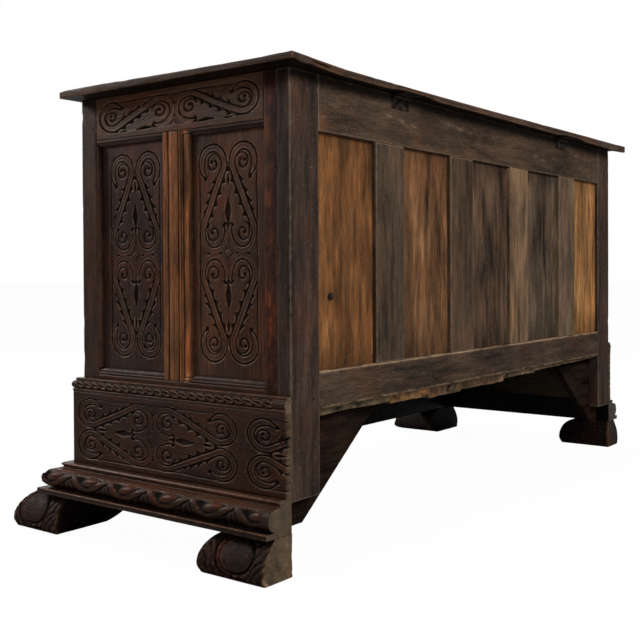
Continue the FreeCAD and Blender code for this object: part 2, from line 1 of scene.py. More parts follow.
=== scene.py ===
import math
import bpy
import numpy as np
from mathutils import Matrix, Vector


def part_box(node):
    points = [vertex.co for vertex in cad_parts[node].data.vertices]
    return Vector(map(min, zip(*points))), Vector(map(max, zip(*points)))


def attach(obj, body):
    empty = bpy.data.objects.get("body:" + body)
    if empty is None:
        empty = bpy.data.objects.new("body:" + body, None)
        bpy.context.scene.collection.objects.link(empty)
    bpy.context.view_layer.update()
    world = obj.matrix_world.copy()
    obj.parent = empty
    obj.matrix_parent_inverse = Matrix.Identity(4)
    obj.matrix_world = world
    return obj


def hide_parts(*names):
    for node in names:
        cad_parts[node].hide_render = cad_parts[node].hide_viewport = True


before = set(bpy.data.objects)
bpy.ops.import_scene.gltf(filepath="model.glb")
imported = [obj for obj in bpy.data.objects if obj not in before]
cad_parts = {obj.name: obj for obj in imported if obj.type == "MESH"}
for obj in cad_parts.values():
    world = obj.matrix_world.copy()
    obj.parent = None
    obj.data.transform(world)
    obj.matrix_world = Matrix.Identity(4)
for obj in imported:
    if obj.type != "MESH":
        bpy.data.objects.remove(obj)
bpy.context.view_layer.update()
mm = 0.001

# The view and the light. The photograph looks at the back right-hand corner of the chest from
# about half its height. The chest stands on a pale floor in front of white, under four broad soft
# lamps: off the right-hand end, off the back, overhead and off the front.
image_px = 640
focal_px = 955.57
optical_row_px = 283.886
camera_yaw, camera_pitch, camera_roll = 0.648753, -0.013071, -0.005507
camera_place = (2.212868, 1.48837, 0.575753)
sensor_wide = 36.0
lamps = {
    "end_lamp": ((2.2, -3.4, 2.5), (0.8, -0.1, 0.5), 0.9, 70.0),
    "back_lamp": ((0.9, 3.7, 2.7), (-0.1, 0.3, 0.6), 1.6, 110.0),
    "top_lamp": ((0.3, -0.6, 3.6), (0.0, 0.0, 0.5), 2.6, 60.0),
    "front_lamp": ((-2.4, -3.2, 2.4), (0.0, -0.2, 0.5), 2.0, 70.0),
}
world_level = 0.13
white = (1.0, 1.0, 1.0, 1.0)
floor_reach = 45.0
floor_grey, floor_glow, floor_glow_share = (0.38, 0.38, 0.38, 1.0), 1.06, 0.92


def aimed(place, forward, roll=0.0):
    """A placement that looks along a direction: its side is level, then it is rolled about that direction."""
    forward = np.array(forward) / np.linalg.norm(forward)
    side = np.cross(forward, (0, 0, 1))
    side /= np.linalg.norm(side)
    up = np.cross(side, forward)
    right = math.cos(roll) * side + math.sin(roll) * up
    above = math.cos(roll) * up - math.sin(roll) * side
    placing = np.eye(4)
    placing[:3] = np.stack([right, above, -forward, place], 1)
    return Matrix(placing.tolist())


def linked(made):
    """Puts an object into the scene and hands it back."""
    bpy.context.scene.collection.objects.link(made)
    return made


def node(tree, kind, options=None, inputs=None):
    """A shader node: options are its own settings; each input is a value or another node's output."""
    made = tree.nodes.new(kind)
    for name, value in (options or {}).items():
        setattr(made, name, value)
    for name, value in (inputs or {}).items():
        if isinstance(value, bpy.types.NodeSocket):
            tree.links.new(value, made.inputs[name])
        else:
            made.inputs[name].default_value = value
    return made


def new_material(name):
    """An empty material with its output node; gives the material, its tree and the output."""
    material = bpy.data.materials.new(name)
    material.use_nodes = True
    material.node_tree.nodes.clear()
    return material, material.node_tree, node(material.node_tree, "ShaderNodeOutputMaterial")


lens = bpy.data.cameras.new("view")
lens.sensor_width = sensor_wide
lens.lens = focal_px / image_px * sensor_wide
lens.shift_y = (optical_row_px - image_px / 2) / image_px
lens.clip_end = 100.0
camera = linked(bpy.data.objects.new("view", lens))
camera_forward = (
    -math.cos(camera_yaw) * math.cos(camera_pitch),
    -math.sin(camera_yaw) * math.cos(camera_pitch),
    math.sin(camera_pitch),
)
camera.matrix_world = aimed(camera_place, camera_forward, camera_roll)
bpy.context.scene.camera = camera
bpy.context.scene.view_settings.view_transform = "Standard"

for lamp_name, (place, target, size, power) in lamps.items():
    lamp = bpy.data.lights.new(lamp_name, "AREA")
    lamp.shape, lamp.size, lamp.energy = "DISK", size, power
    holder = linked(bpy.data.objects.new(lamp_name, lamp))
    holder.matrix_world = aimed(place, np.subtract(target, place))

world = bpy.data.worlds.new("studio")
bpy.context.scene.world = world
world.use_nodes = True
world.node_tree.nodes.clear()
rays = node(world.node_tree, "ShaderNodeLightPath")
seen = node(world.node_tree, "ShaderNodeMath", {"operation": "MAXIMUM"},
            {0: rays.outputs["Is Camera Ray"], 1: rays.outputs["Is Transmission Ray"]})
sky = node(world.node_tree, "ShaderNodeBackground", None, {"Color": white, "Strength": world_level})
backdrop = node(world.node_tree, "ShaderNodeBackground", None, {"Color": white, "Strength": 1.0})
blend = node(world.node_tree, "ShaderNodeMixShader", None,
             {0: seen.outputs[0], 1: sky.outputs[0], 2: backdrop.outputs[0]})
node(world.node_tree, "ShaderNodeOutputWorld", None, {"Surface": blend.outputs[0]})

floor_mesh = bpy.data.meshes.new("floor")
floor_corners = [(-floor_reach, -floor_reach, 0), (floor_reach, -floor_reach, 0),
                 (floor_reach, floor_reach, 0), (-floor_reach, floor_reach, 0)]
floor_mesh.from_pydata(floor_corners, [], [(0, 1, 2, 3)])
floor = linked(bpy.data.objects.new("floor", floor_mesh))
floor_paint, tree, output = new_material("pale_floor")
rays = node(tree, "ShaderNodeLightPath")
matt = node(tree, "ShaderNodeBsdfDiffuse", None, {"Color": floor_grey})
glow = node(tree, "ShaderNodeEmission", None, {"Color": white, "Strength": floor_glow})
share = node(tree, "ShaderNodeMath", {"operation": "MULTIPLY"},
             {0: rays.outputs["Is Camera Ray"], 1: floor_glow_share})
paint = node(tree, "ShaderNodeMixShader", None, {0: share.outputs[0], 1: matt.outputs[0], 2: glow.outputs[0]})
tree.links.new(paint.outputs[0], output.inputs["Surface"])
floor_mesh.materials.append(floor_paint)

# The corner posts and stiles. Six upright walnut timbers: a deep post at each front corner, and
# at each back corner a narrow stile on the end and a wide one on the back. They are sawn, planed
# and worn round at their arrises, grey with dust at the back and redder on the ends.
# The tops of the posts and stiles carry painted shade under the lid's overhang.
post_brown = (64, 45, 34)
end_stile_red = (80, 47, 31)
back_stile_grey = (62, 46, 37)
post_arris = 2.2 * mm
board_waver = 0.5 * mm
waver_size = 110 * mm
arris_chip = 2.6 * mm
bite_size, bite_stretch, bite_least = 9 * mm, 0.35, 0.25
arris_shares = (0.8, 1.0, 0.8)
beside_arris_share = 0.3
end_worn = 0.15
grain_reach = 7.0
flush_red = (1.75, 1.0, 0.66)
dust_grey = (0.32, 0.28, 0.23, 1.0)
pore_share = 0.62
lid_shade_share, lid_shade_from, lid_shade_to = 0.25, 957 * mm, 922 * mm
blotch_dark, blotch_light = (0.55, 0.52, 0.5), (1.15, 0.85, 0.5)
blotch_size, speckle_size, speckle_share = 11 * mm, 6 * mm, 0.6
stile_edge_dark = 0.4


def stain(red, green, blue):
    """A colour given as screen values from 0 to 255, as the linear values that a shader takes."""
    screen = np.array([red, green, blue]) / 255
    return np.where(screen <= 0.04045, screen / 12.92, ((screen + 0.055) / 1.055) ** 2.4)


def noise(points, size, seed):
    """Smooth noise from -1 to 1: random values on a cubic lattice, blended between the eight nearest
    with the weight 3t^2 - 2t^3 along each axis."""
    table = np.random.RandomState(seed).uniform(-1, 1, (32, 32, 32))
    place = points / size
    cell = np.floor(place).astype(int)
    part = place - cell
    ease = part * part * (3 - 2 * part)
    total = np.zeros(points.shape[:-1])
    for corner in np.ndindex(2, 2, 2):
        weight = np.prod(np.where(corner, ease, 1 - ease), axis=-1)
        index = (cell + corner) % 32
        total += weight * table[index[..., 0], index[..., 1], index[..., 2]]
    return total


def step(value, none, full):
    """A smooth step from 0 at one value to 1 at another, which may be the lower of the two."""
    share = np.clip((value - none) / (full - none), 0, 1)
    return share * share * (3 - 2 * share)


def ridge(distance, half):
    """A smooth bump about a line, as wide to each side as its half width."""
    return np.exp(-((distance / half) ** 2))


def rounded_over(distance, radius):
    """How far a quarter round falls at a distance from its edge: the radius less the square root of
    radius^2 - (radius - distance)^2."""
    return radius - np.sqrt(radius**2 - np.clip(radius - distance, 0, radius) ** 2)


def own_place(seed):
    """Where a piece lies in the pattern of the wood, so that no two have the same figure."""
    return np.random.RandomState(seed).uniform(0, grain_reach, 3)


def grid_quads(rows, columns, around=False):
    """The four-sided faces of a grid of points, joined to itself round the columns if asked."""
    index = np.arange(rows * columns).reshape(rows, columns)
    if around:
        index = np.concatenate([index, index[:, :1]], axis=1)
    return np.stack([index[:-1, :-1], index[:-1, 1:], index[1:, 1:], index[1:, :-1]], -1).reshape(-1, 4)


def ring_body(points, worn, hollow, grain, tone, mirrored=False):
    """A body of wood from rings of points, with a flat face over both ends. It keeps on its points how worn
    and how hollow they are, their place in the grain and their tone. A mirrored one has its faces turned."""
    rows, columns = points.shape[:2]
    quads = grid_quads(rows, columns, around=True)
    ring = np.arange(columns)
    caps = [ring[::-1].tolist(), (ring + (rows - 1) * columns).tolist()]
    if mirrored:
        quads, caps = quads[:, ::-1], [cap[::-1] for cap in caps]
    return {"points": points.reshape(-1, 3), "quads": quads, "caps": caps,
            "marks": {"worn": worn.ravel(), "hollow": hollow.ravel()},
            "vectors": {"grain": grain.reshape(-1, 3), "tone": tone.reshape(-1, 3)}}


def rounded_outline(half_p, half_q, radius, spread):
    """A rounded rectangle, anticlockwise: a quarter round at each corner, then points spread along the
    next side. Gives the points, their outward directions and how near each is to an arris."""
    points, outward, near = [], [], []
    for corner in range(4):
        turn = math.pi / 2 * corner
        signs = np.array([(1, 1), (-1, 1), (-1, -1), (1, -1)][corner])
        centre = signs * (half_p - radius, half_q - radius)
        angles = turn + np.radians([0, 45, 90])
        ways = np.stack([np.cos(angles), np.sin(angles)], 1)
        points.append(centre + radius * ways)
        outward.append(ways)
        near.append(arris_shares)
        side = 2 * ((half_p, half_q)[corner % 2] - radius)
        guard = min(1.4 * radius, side / 3)
        along = np.linspace(guard, side - guard, max(2, int(side / spread) + 2))
        travel = np.array([math.cos(turn + math.pi), math.sin(turn + math.pi)])
        points.append(points[-1][-1] + along[:, None] * travel)
        outward.append(np.repeat(ways[-1:], len(along), 0))
        beside = (along < guard * 1.01) | (along > side - guard * 1.01)
        near.append(np.where(beside, beside_arris_share, 0.0))
    return np.concatenate(points), np.concatenate(outward), np.concatenate(near)


def plank(low, high, along, colour, seed, radius=post_arris, waver=board_waver, chip=arris_chip,
          pitch=12 * mm, spread=14 * mm, shaped=None, coloured=None):
    """A board: a rounded rectangle carried along an axis and drawn in at both ends by a quarter round.
    Each point then moves along its outward direction by slow noise, and at the arrises inwards by
    the positive part of a finer noise, which chips them."""
    low, high = np.array(low, float), np.array(high, float)
    p, q = (along + 1) % 3, (along + 2) % 3
    size = high - low
    ring, outward, near = rounded_outline(size[p] / 2, size[q] / 2, radius, spread)
    count = max(2, int(size[along] / pitch))
    inner = np.linspace(2.4 * radius, size[along] - 2.4 * radius, count)
    ends = np.array([0, 0.3, 1.0]) * radius
    stations = np.concatenate([ends, inner, size[along] - ends[::-1]])
    to_end = np.minimum(stations, size[along] - stations)
    middle = (low + high) / 2
    points = np.empty((len(stations), len(ring), 3))
    points[..., along] = low[along] + stations[:, None]
    points[..., p] = middle[p] + ring[:, 0]
    points[..., q] = middle[q] + ring[:, 1]
    ways = np.zeros_like(points)
    ways[..., p], ways[..., q] = outward[:, 0], outward[:, 1]
    edge = np.maximum(near[None, :], step(2.0 * radius - to_end, 0, radius)[:, None])
    edge[[0, -1]] = end_worn
    stretched = points.copy()
    stretched[..., along] *= bite_stretch
    slow = noise(points, waver_size, seed) * waver
    bite = np.clip(noise(stretched, bite_size, seed + 1) - bite_least, 0, 1) * chip
    push = slow - bite * near - rounded_over(to_end, radius)[:, None]
    if shaped is not None:
        push = push + shaped(points, ways)
    points = points + ways * push[..., None]
    grain = points[..., [along, p, q]] + own_place(seed)
    tone = np.broadcast_to(stain(*colour), points.shape).copy()
    if coloured is not None:
        tone *= coloured(points)
    return ring_body(points, edge, np.zeros(edge.shape), grain, tone)


def joined(parts):
    """Several bodies of wood as one: their points follow each other and their faces are renumbered."""
    starts = np.cumsum([0] + [len(part["points"]) for part in parts])
    whole = {"points": np.concatenate([part["points"] for part in parts])}
    whole["quads"] = np.concatenate([part["quads"] + start for part, start in zip(parts, starts)])
    whole["caps"] = [[i + int(start) for i in cap] for part, start in zip(parts, starts) for cap in part["caps"]]
    for kind in ("marks", "vectors"):
        whole[kind] = {name: np.concatenate([part[kind][name] for part in parts]) for name in parts[0][kind]}
    return whole


def put(name, part, material, slot_name, nodes, body="chest"):
    """Makes the object of a piece, which stands for its CAD nodes and rides on its body."""
    mesh = bpy.data.meshes.new(name)
    mesh.from_pydata(part["points"].tolist(), [], part["quads"].tolist() + part["caps"])
    for kind, values in part["marks"].items():
        mesh.attributes.new(kind, "FLOAT", "POINT").data.foreach_set("value", values.astype(np.float32))
    for kind, values in part["vectors"].items():
        layer = mesh.attributes.new(kind, "FLOAT_VECTOR", "POINT")
        layer.data.foreach_set("vector", values.astype(np.float32).ravel())
    mesh.polygons.foreach_set("use_smooth", [True] * len(part["quads"]) + [False] * len(part["caps"]))
    mesh.materials.append(material)
    mesh.update()
    made = linked(bpy.data.objects.new(name, mesh))
    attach(made, body)
    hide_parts(*nodes)
    return made


def group_tree(name, inputs, outputs):
    """A shader node group with named sockets; gives the group, its tree's input and output nodes."""
    tree = bpy.data.node_groups.new(name, "ShaderNodeTree")
    for socket_name, kind in inputs:
        tree.interface.new_socket(socket_name, in_out="INPUT", socket_type="NodeSocket" + kind)
    for socket_name, kind in outputs:
        tree.interface.new_socket(socket_name, in_out="OUTPUT", socket_type="NodeSocket" + kind)
    return tree, node(tree, "NodeGroupInput"), node(tree, "NodeGroupOutput")


def summed(tree, operation, *values):
    """The output of a sum on values, taken one after another."""
    total = values[0]
    for value in values[1:]:
        total = node(tree, "ShaderNodeMath", {"operation": operation}, {0: total, 1: value}).outputs[0]
    return total


def ranged(tree, value, low, high, to_low, to_high):
    """A value taken from one range to another and held between its ends."""
    inputs = {"Value": value, "From Min": low, "From Max": high, "To Min": to_low, "To Max": to_high}
    return node(tree, "ShaderNodeMapRange", None, inputs).outputs[0]


def mixed(tree, share, first, second, blend="MIX"):
    """Two colours mixed by a share."""
    options = {"data_type": "RGBA", "blend_type": blend}
    return node(tree, "ShaderNodeMix", options, {0: share, 6: first, 7: second}).outputs[2]


def cloud(tree, place, scale, detail, stretch=None):
    """The value of a noise at a place, which is first stretched by a factor along each axis."""
    if stretch is not None:
        place = node(tree, "ShaderNodeVectorMath", {"operation": "MULTIPLY"}, {0: place, 1: stretch}).outputs[0]
    made = node(tree, "ShaderNodeTexNoise", None, {"Vector": place, "Scale": scale, "Detail": detail})
    return made.outputs["Fac"]


def timber_group():
    """The timber itself. Three noises stretched along the grain give its broad figure, its fibres and
    its pores. They darken and lighten the tone, and the finer two give the height."""
    tree, given, result = group_tree(
        "timber", [("Grain", "Vector"), ("Tone", "Color"), ("Streaks", "Float")],
        [("Color", "Color"), ("Height", "Float")])
    grain, tone, streaks = given.outputs[0], given.outputs[1], given.outputs[2]
    bend = cloud(tree, grain, 6.0, 2.0, (0.5, 1.0, 1.0))
    bend = ranged(tree, bend, 0.0, 1.0, -0.02, 0.02)
    wavy = node(tree, "ShaderNodeVectorMath", {"operation": "ADD"}, {0: grain, 1: bend}).outputs[0]
    figure = cloud(tree, wavy, 60.0, 7.0, (0.13, 1.0, 1.0))
    broad = cloud(tree, wavy, 12.0, 3.0, (0.3, 1.0, 1.0))
    fibres = cloud(tree, grain, 430.0, 4.0, (0.06, 1.0, 1.0))
    pores = cloud(tree, grain, 1500.0, 1.0, (0.035, 1.0, 1.0))
    pores = ranged(tree, pores, 0.6, 0.7, 0.0, 1.0)
    figure = ranged(tree, figure, 0.32, 0.68, -1.5, 1.5)
    broad = ranged(tree, broad, 0.3, 0.7, -1.0, 1.0)
    light = summed(tree, "MULTIPLY", summed(tree, "ADD", summed(tree, "MULTIPLY", figure, 0.62), broad), streaks)
    light = summed(tree, "MULTIPLY", summed(tree, "ADD", light, 1.0),
                   ranged(tree, fibres, 0.32, 0.68, 0.58, 1.38), ranged(tree, pores, 0.0, 1.0, 1.0, pore_share))
    scaled = node(tree, "ShaderNodeVectorMath", {"operation": "SCALE"}, {0: tone, "Scale": light})
    height = summed(tree, "SUBTRACT", ranged(tree, fibres, 0.3, 0.7, 0.0, 0.6), pores)
    tree.links.new(scaled.outputs[0], result.inputs[0])
    tree.links.new(height, result.inputs[1])
    return tree


def patina_group():
    """Three centuries of use. Worn arrises show a lighter polished wood, hollows hold dark wax and dirt,
    broad patches fade and darken, and specks of dust sit on the surface."""
    tree, given, result = group_tree(
        "patina",
        [("Color", "Color"), ("Place", "Vector"), ("Worn", "Float"), ("Hollow", "Float"), ("Rubbed", "Color"),
         ("Grime", "Color"), ("Wear", "Float"), ("Dirt", "Float"), ("Dust", "Float"), ("Gloss", "Float"),
         ("Flush", "Color"), ("Flushed", "Float")],
        [("Color", "Color"), ("Roughness", "Float"), ("Height", "Float")])
    put_in = {socket.name: socket for socket in given.outputs}
    place = put_in["Place"]
    rub = cloud(tree, place, 70.0, 4.0)
    patch = cloud(tree, place, 5.5, 4.0)
    fine = cloud(tree, place, 260.0, 3.0)
    rubbed = summed(tree, "ADD", put_in["Worn"], ranged(tree, rub, 0.3, 0.7, -0.45, 0.35))
    rubbed = ranged(tree, rubbed, 0.25, 1.0, 0.0, 1.0)
    rubbed = summed(tree, "MULTIPLY", rubbed, put_in["Worn"], put_in["Wear"])
    filled = summed(tree, "MULTIPLY", put_in["Hollow"], ranged(tree, rub, 0.3, 0.7, 0.8, 1.25), put_in["Dirt"])
    filled = ranged(tree, filled, 0.0, 1.0, 0.0, 1.0)
    shade = summed(tree, "MULTIPLY", ranged(tree, patch, 0.3, 0.7, 0.74, 1.2),
                   ranged(tree, fine, 0.3, 0.7, 0.9, 1.1))
    shaded = node(tree, "ShaderNodeVectorMath", {"operation": "SCALE"}, {0: put_in["Color"], "Scale": shade})
    colour = shaded.outputs[0]
    blush = ranged(tree, cloud(tree, place, 8.0, 5.0), 0.47, 0.66, 0.0, 1.0)
    blush = summed(tree, "MULTIPLY", blush, put_in["Flushed"])
    colour = mixed(tree, blush, colour, mixed(tree, 1.0, colour, put_in["Flush"], "MULTIPLY"))
    colour = mixed(tree, rubbed, colour, put_in["Rubbed"])
    colour = mixed(tree, filled, colour, put_in["Grime"])
    specks = ranged(tree, cloud(tree, place, 300.0, 2.0), 0.66, 0.74, 0.0, 1.0)
    specks = summed(tree, "MULTIPLY", specks, put_in["Dust"])
    colour = mixed(tree, specks, colour, dust_grey)
    rough = summed(tree, "ADD", put_in["Gloss"], ranged(tree, rub, 0.3, 0.7, -0.08, 0.1),
                   summed(tree, "MULTIPLY", filled, 0.25))
    rough = summed(tree, "SUBTRACT", rough, summed(tree, "MULTIPLY", rubbed, 0.1))
    tree.links.new(colour, result.inputs[0])
    tree.links.new(rough, result.inputs[1])
    tree.links.new(ranged(tree, fine, 0.3, 0.7, 0.0, 0.5), result.inputs[2])
    return tree


timber = timber_group()
patina = patina_group()


def walnut(name, rubbed, grime=(13, 8, 6), streaks=0.3, wear=0.7, dirt=0.9, dust=0.25, gloss=0.5, bump=0.35,
           specular=0.16, plain=None, flushed=0.5):
    """A walnut finish: timber under its patina, fed by the piece's own grain, tone, worn and hollow marks. A
    plain one takes its one colour as given and its grain from the object's own X."""
    material, tree, output = new_material(name)
    if plain is None:
        grain = node(tree, "ShaderNodeAttribute", {"attribute_name": "grain"}).outputs["Vector"]
        tone = node(tree, "ShaderNodeAttribute", {"attribute_name": "tone"}).outputs["Vector"]
    else:
        grain = node(tree, "ShaderNodeTexCoord").outputs["Object"]
        tone = (*stain(*plain), 1.0)
    worn = node(tree, "ShaderNodeAttribute", {"attribute_name": "worn"}).outputs["Fac"]
    hollow = node(tree, "ShaderNodeAttribute", {"attribute_name": "hollow"}).outputs["Fac"]
    wood = node(tree, "ShaderNodeGroup", {"node_tree": timber}, {0: grain, 1: tone, 2: streaks})
    inputs = {"Color": wood.outputs[0], "Place": grain, "Worn": worn, "Hollow": hollow,
              "Rubbed": (*stain(*rubbed), 1.0), "Grime": (*stain(*grime), 1.0),
              "Wear": wear, "Dirt": dirt, "Dust": dust, "Gloss": gloss,
              "Flush": (*flush_red, 1.0), "Flushed": flushed}
    aged = node(tree, "ShaderNodeGroup", {"node_tree": patina}, inputs)
    height = summed(tree, "ADD", wood.outputs[1], aged.outputs[2])
    relief = node(tree, "ShaderNodeBump", None, {"Strength": bump, "Distance": 0.5 * mm, "Height": height})
    surface = node(tree, "ShaderNodeBsdfPrincipled", None, {
        "Base Color": aged.outputs[0], "Roughness": aged.outputs[1],
        "Specular IOR Level": specular, "Normal": relief.outputs[0]})
    tree.links.new(surface.outputs[0], output.inputs["Surface"])
    return material


def corners(name):
    """The lowest and highest corners of a CAD node, as arrays."""
    low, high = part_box(name)
    return np.array(low), np.array(high)


def shown_box(name, axis, before, after):
    """The corners of a timber without its tenons: along one axis it runs from one neighbour to the next."""
    low, high = corners(name)
    low[axis], high[axis] = corners(before)[1][axis], corners(after)[0][axis]
    return low, high


def shade_under_lid(points):
    """Painted shade below the lid: the top of a timber is dark."""
    unshaded = step(points[..., 2], lid_shade_from, lid_shade_to)
    return (lid_shade_share + (1 - lid_shade_share) * unshaded)[..., None]


def blotched(points):
    """The stile's colour: orange-red patches drawn out along it, turning dark towards its back edge, with painted
    shade at its top under the lid.
    """
    drawn_out = points * (1.0, 1.0, 0.4)
    patch = noise(drawn_out, blotch_size, 31) + speckle_share * noise(points, speckle_size, 32)
    patch = step(patch, -0.5, 0.8)
    dark = step(np.abs(points[..., 1]), 312 * mm, 326 * mm)[..., None]
    mottled = np.array(blotch_dark) + patch[..., None] * blotch_light
    return mottled * (1 - stile_edge_dark * dark) * shade_under_lid(points)


end_walnut = walnut("end_walnut", (100, 72, 54), streaks=0.4)
back_walnut = walnut("back_walnut", (112, 98, 82), streaks=0.5, dust=0.5, gloss=0.66, specular=0.2, flushed=0.3)
sides = ("right", "left")
timbers = [("front_post_", post_brown, end_walnut, shade_under_lid), ("end_stile_", end_stile_red, end_walnut, blotched),
           ("back_stile_", back_stile_grey, back_walnut, shade_under_lid)]
for index, side in enumerate(sides):
    for kind, (stem, colour, finish, tint) in enumerate(timbers):
        low, high = corners(stem + side)
        part = plank(low, high, 2, colour, 10 + 3 * index + kind, coloured=tint, pitch=6 * mm, spread=6 * mm)
        put("worn_" + stem + side, part, finish, "frame_walnut", [stem + side])

# The carved scroll. The rails, the panels and the plinth boards are all carved from one drawing: a strap that
# wraps a small volute, crosses and wraps a large one, with a scalloped leaf in the hollow of each. Mirrored
# once it fills a rail, mirrored twice it makes the paired hearts of the panels and of the plinth.
scroll_wide = 75 * mm
scroll_long = 226 * mm
strap_half = 6.0 * mm
strap_level = -0.3 * mm
leaf_level = -0.8 * mm
ground_deep = 4.0 * mm
channel_least = 3.0 * mm
scallop_wide = 8.0 * mm
inner_scallops = (23.0, 58.0, 168.0)
outer_scallops = (21.0, 88.0, 152.0)
drawing_pitch = 0.8 * mm
drawing_margin = 14 * mm
curl_share, hole_share, tear_share = 0.9, 1.2, 1.1
tear_rim_high = 0.6 * mm
vein_count, vein_slant, vein_deep = 14, 30, 0.45 * mm
small_volute = (39.5, 181.0, 29.0)
large_volute = (38.0, 40.5, 30.5)
volute_stretch = 1.1
tears = [(84.0, 28.0, 8.0), (146.0, 14.0, 3.6)]
curls = [((38.0, 182.0), (18.5, 5.5), (150, -235)), ((38.0, 42.0), (19.5, 5.5), (70, -330))]
curl_holes = [(43.0, 185.5, 3.6), (42.5, 42.0, 3.8)]
nested_pitch, nested_deep, nested_half = 5.2 * mm, 2.2 * mm, 1.1 * mm
strap_hollow_in, strap_hollow_half, strap_hollow_deep = 4.4 * mm, 2.2 * mm, 0.9 * mm
clasp_half_wide, clasp_half_long, clasp_share = 12.0, 9.0, 0.8
frame_in, frame_half, frame_share = 1.6 * mm, 1.4 * mm, 0.8
crown_beyond = 9.0


def spiral(volute, start_radius, end_radius, start_angle, end_angle):
    """Points of a volute: while the angle turns at a steady rate, the radius passes smoothly from one value
    to the other, and heights are stretched a little."""
    share = np.linspace(0, 1, 120)
    angle = np.radians(start_angle + (end_angle - start_angle) * share)
    radius = start_radius + (end_radius - start_radius) * share
    return np.stack([volute[0] + radius * np.cos(angle), volute[1] + volute_stretch * radius * np.sin(angle)], 1)


def strap_line():
    """Places along the middle of the strap and its half width there: round the small volute, straight across
    and round the large volute. It thins to a point at both ends."""
    over = spiral(small_volute, small_volute[2], small_volute[2], -50, 198)
    under = spiral(large_volute, large_volute[2], large_volute[2] + 4, 22, -206)
    across = np.linspace(over[-1], under[0], 200)
    line = np.concatenate([over, across, under]) * mm
    travel = np.concatenate([[0], np.cumsum(np.hypot(*np.diff(line, axis=0).T))])
    half = strap_half * np.sqrt(np.clip(np.minimum(travel, travel[-1] - travel) / (34 * mm), 0.03, 1))
    return line, half, over[-1] * mm, under[0] * mm


def scallops(along, gap, lobes):
    """How far the ground beside a strap reaches: narrow at the middle of each lobe of the leaf and wide in the
    slanting cuts between them, fading out beyond the first and last lobe."""
    pitch, first, last = (value * mm for value in lobes)
    cusp = 1 - np.abs(np.sin(math.pi * (along + 0.7 * gap - first) / pitch))
    fade = step(along, first - 8 * mm, first) * step(along, last + 8 * mm, last)
    swell = 1 + 0.5 * np.sin(math.pi * np.clip((along - first) / (last - first), 0, 1))
    reach = channel_least * swell + scallop_wide * cusp**1.3 * fade
    return step(reach - gap, -0.7 * mm, 0.7 * mm)


def spiral_groove(across, along, curl):
    """A groove that winds in to the eye of a volute: the least distance to its line, and wider as it winds."""
    centre, radii, angles = curl
    line = spiral((*centre, 0), *radii, *angles) * mm
    depth = np.zeros(across.shape)
    for number, place in enumerate(line):
        half = (1.2 + 1.4 * number / len(line)) * mm
        depth = np.maximum(depth, ridge(np.hypot(across - place[0], along - place[1]), half))
    return depth


def drawn_scroll():
    """The depth of one scroll on a fine grid of u across and v along. The gap to the strap is the least
    distance to its middle line less its half width there. The ground follows it inside and outside, grooves
    and holes make the curls of the leaf, and lens-shaped hollows open its middle."""
    u = np.arange(0, scroll_wide + drawing_margin, drawing_pitch)
    v = np.arange(0, scroll_long + drawing_margin, drawing_pitch)
    across, along = np.meshgrid(u, v)
    line, half, high_end, low_end = strap_line()
    gap = np.full(across.shape, 1.0)
    for place, wide in zip(line, half):
        gap = np.minimum(gap, np.hypot(across - place[0], along - place[1]) - wide)
    slant = high_end[0] + (low_end[0] - high_end[0]) * (along - high_end[1]) / (low_end[1] - high_end[1])
    inside = np.where(along > small_volute[1] * mm, across < high_end[0], across < slant)
    inside = np.where(along < large_volute[1] * mm, across < scroll_wide, inside)
    cut = np.where(inside, scallops(along, gap, inner_scallops), scallops(along, gap, outer_scallops))
    depth = leaf_level - ground_deep * cut
    for curl in curls:
        depth = np.minimum(depth, leaf_level - ground_deep * curl_share * spiral_groove(across, along, curl))
    for centre_u, centre_v, radius in curl_holes:
        hole = step(radius * mm - np.hypot(across - centre_u * mm, along - centre_v * mm), -1.0 * mm, 1.6 * mm)
        depth = np.minimum(depth, leaf_level - hole_share * ground_deep * hole)
    for centre, half_long, half_wide in tears:
        share = np.clip(np.abs(along - centre * mm) / (half_long * mm), 0, 1)
        edge = half_wide * mm * (1 - share**1.7) - across
        lens = step(edge, -0.6 * mm, 1.6 * mm) * (share < 1)
        rim = ridge(edge + 1.6 * mm, 1.1 * mm) * (share < 1)
        depth = np.minimum(depth, leaf_level - tear_share * ground_deep * lens) + tear_rim_high * rim
    fan = np.where(inside, np.arctan2(across, 196 * mm - along), np.arctan2(scroll_wide - across, along - 60 * mm))
    veins = ridge((fan * vein_count + vein_slant * along) % 1 - 0.5, 0.12)
    depth = depth - vein_deep * veins * (1 - cut) * step(gap, 4 * mm, 6 * mm) * step(along, 50 * mm, 70 * mm)
    beyond = (gap > 0) & (along < 24 * mm) & (np.abs(across - 38 * mm) > 18 * mm)
    nested = -nested_deep * ridge((gap + nested_pitch / 2) % nested_pitch - nested_pitch / 2, nested_half)
    depth = np.where(beyond, nested + leaf_level, depth)
    over = step(gap, 0.5 * mm, -0.6 * mm)
    hollow_strap = strap_level - strap_hollow_deep * ridge(gap + strap_hollow_in, strap_hollow_half) - 0.2 * mm
    depth = depth * (1 - over) + hollow_strap * over
    clasp = across / (clasp_half_wide * mm) + along / (clasp_half_long * mm)
    depth = np.where(clasp < 1, strap_level - ground_deep * clasp_share * ridge(clasp - 1, 0.14), depth)
    body = np.minimum(scroll_wide + 1.0 * mm - across, small_volute[1] * mm - along)
    crown = (small_volute[2] + crown_beyond) * mm - np.hypot(across - small_volute[0] * mm,
                                                             (along - small_volute[1] * mm) / volute_stretch)
    rim = np.maximum(body, crown)
    depth = np.minimum(depth, -frame_share * ground_deep * ridge(rim - frame_in, frame_half))
    return depth * step(rim, -1.0 * mm, 0.8 * mm)


scroll_depths = drawn_scroll()


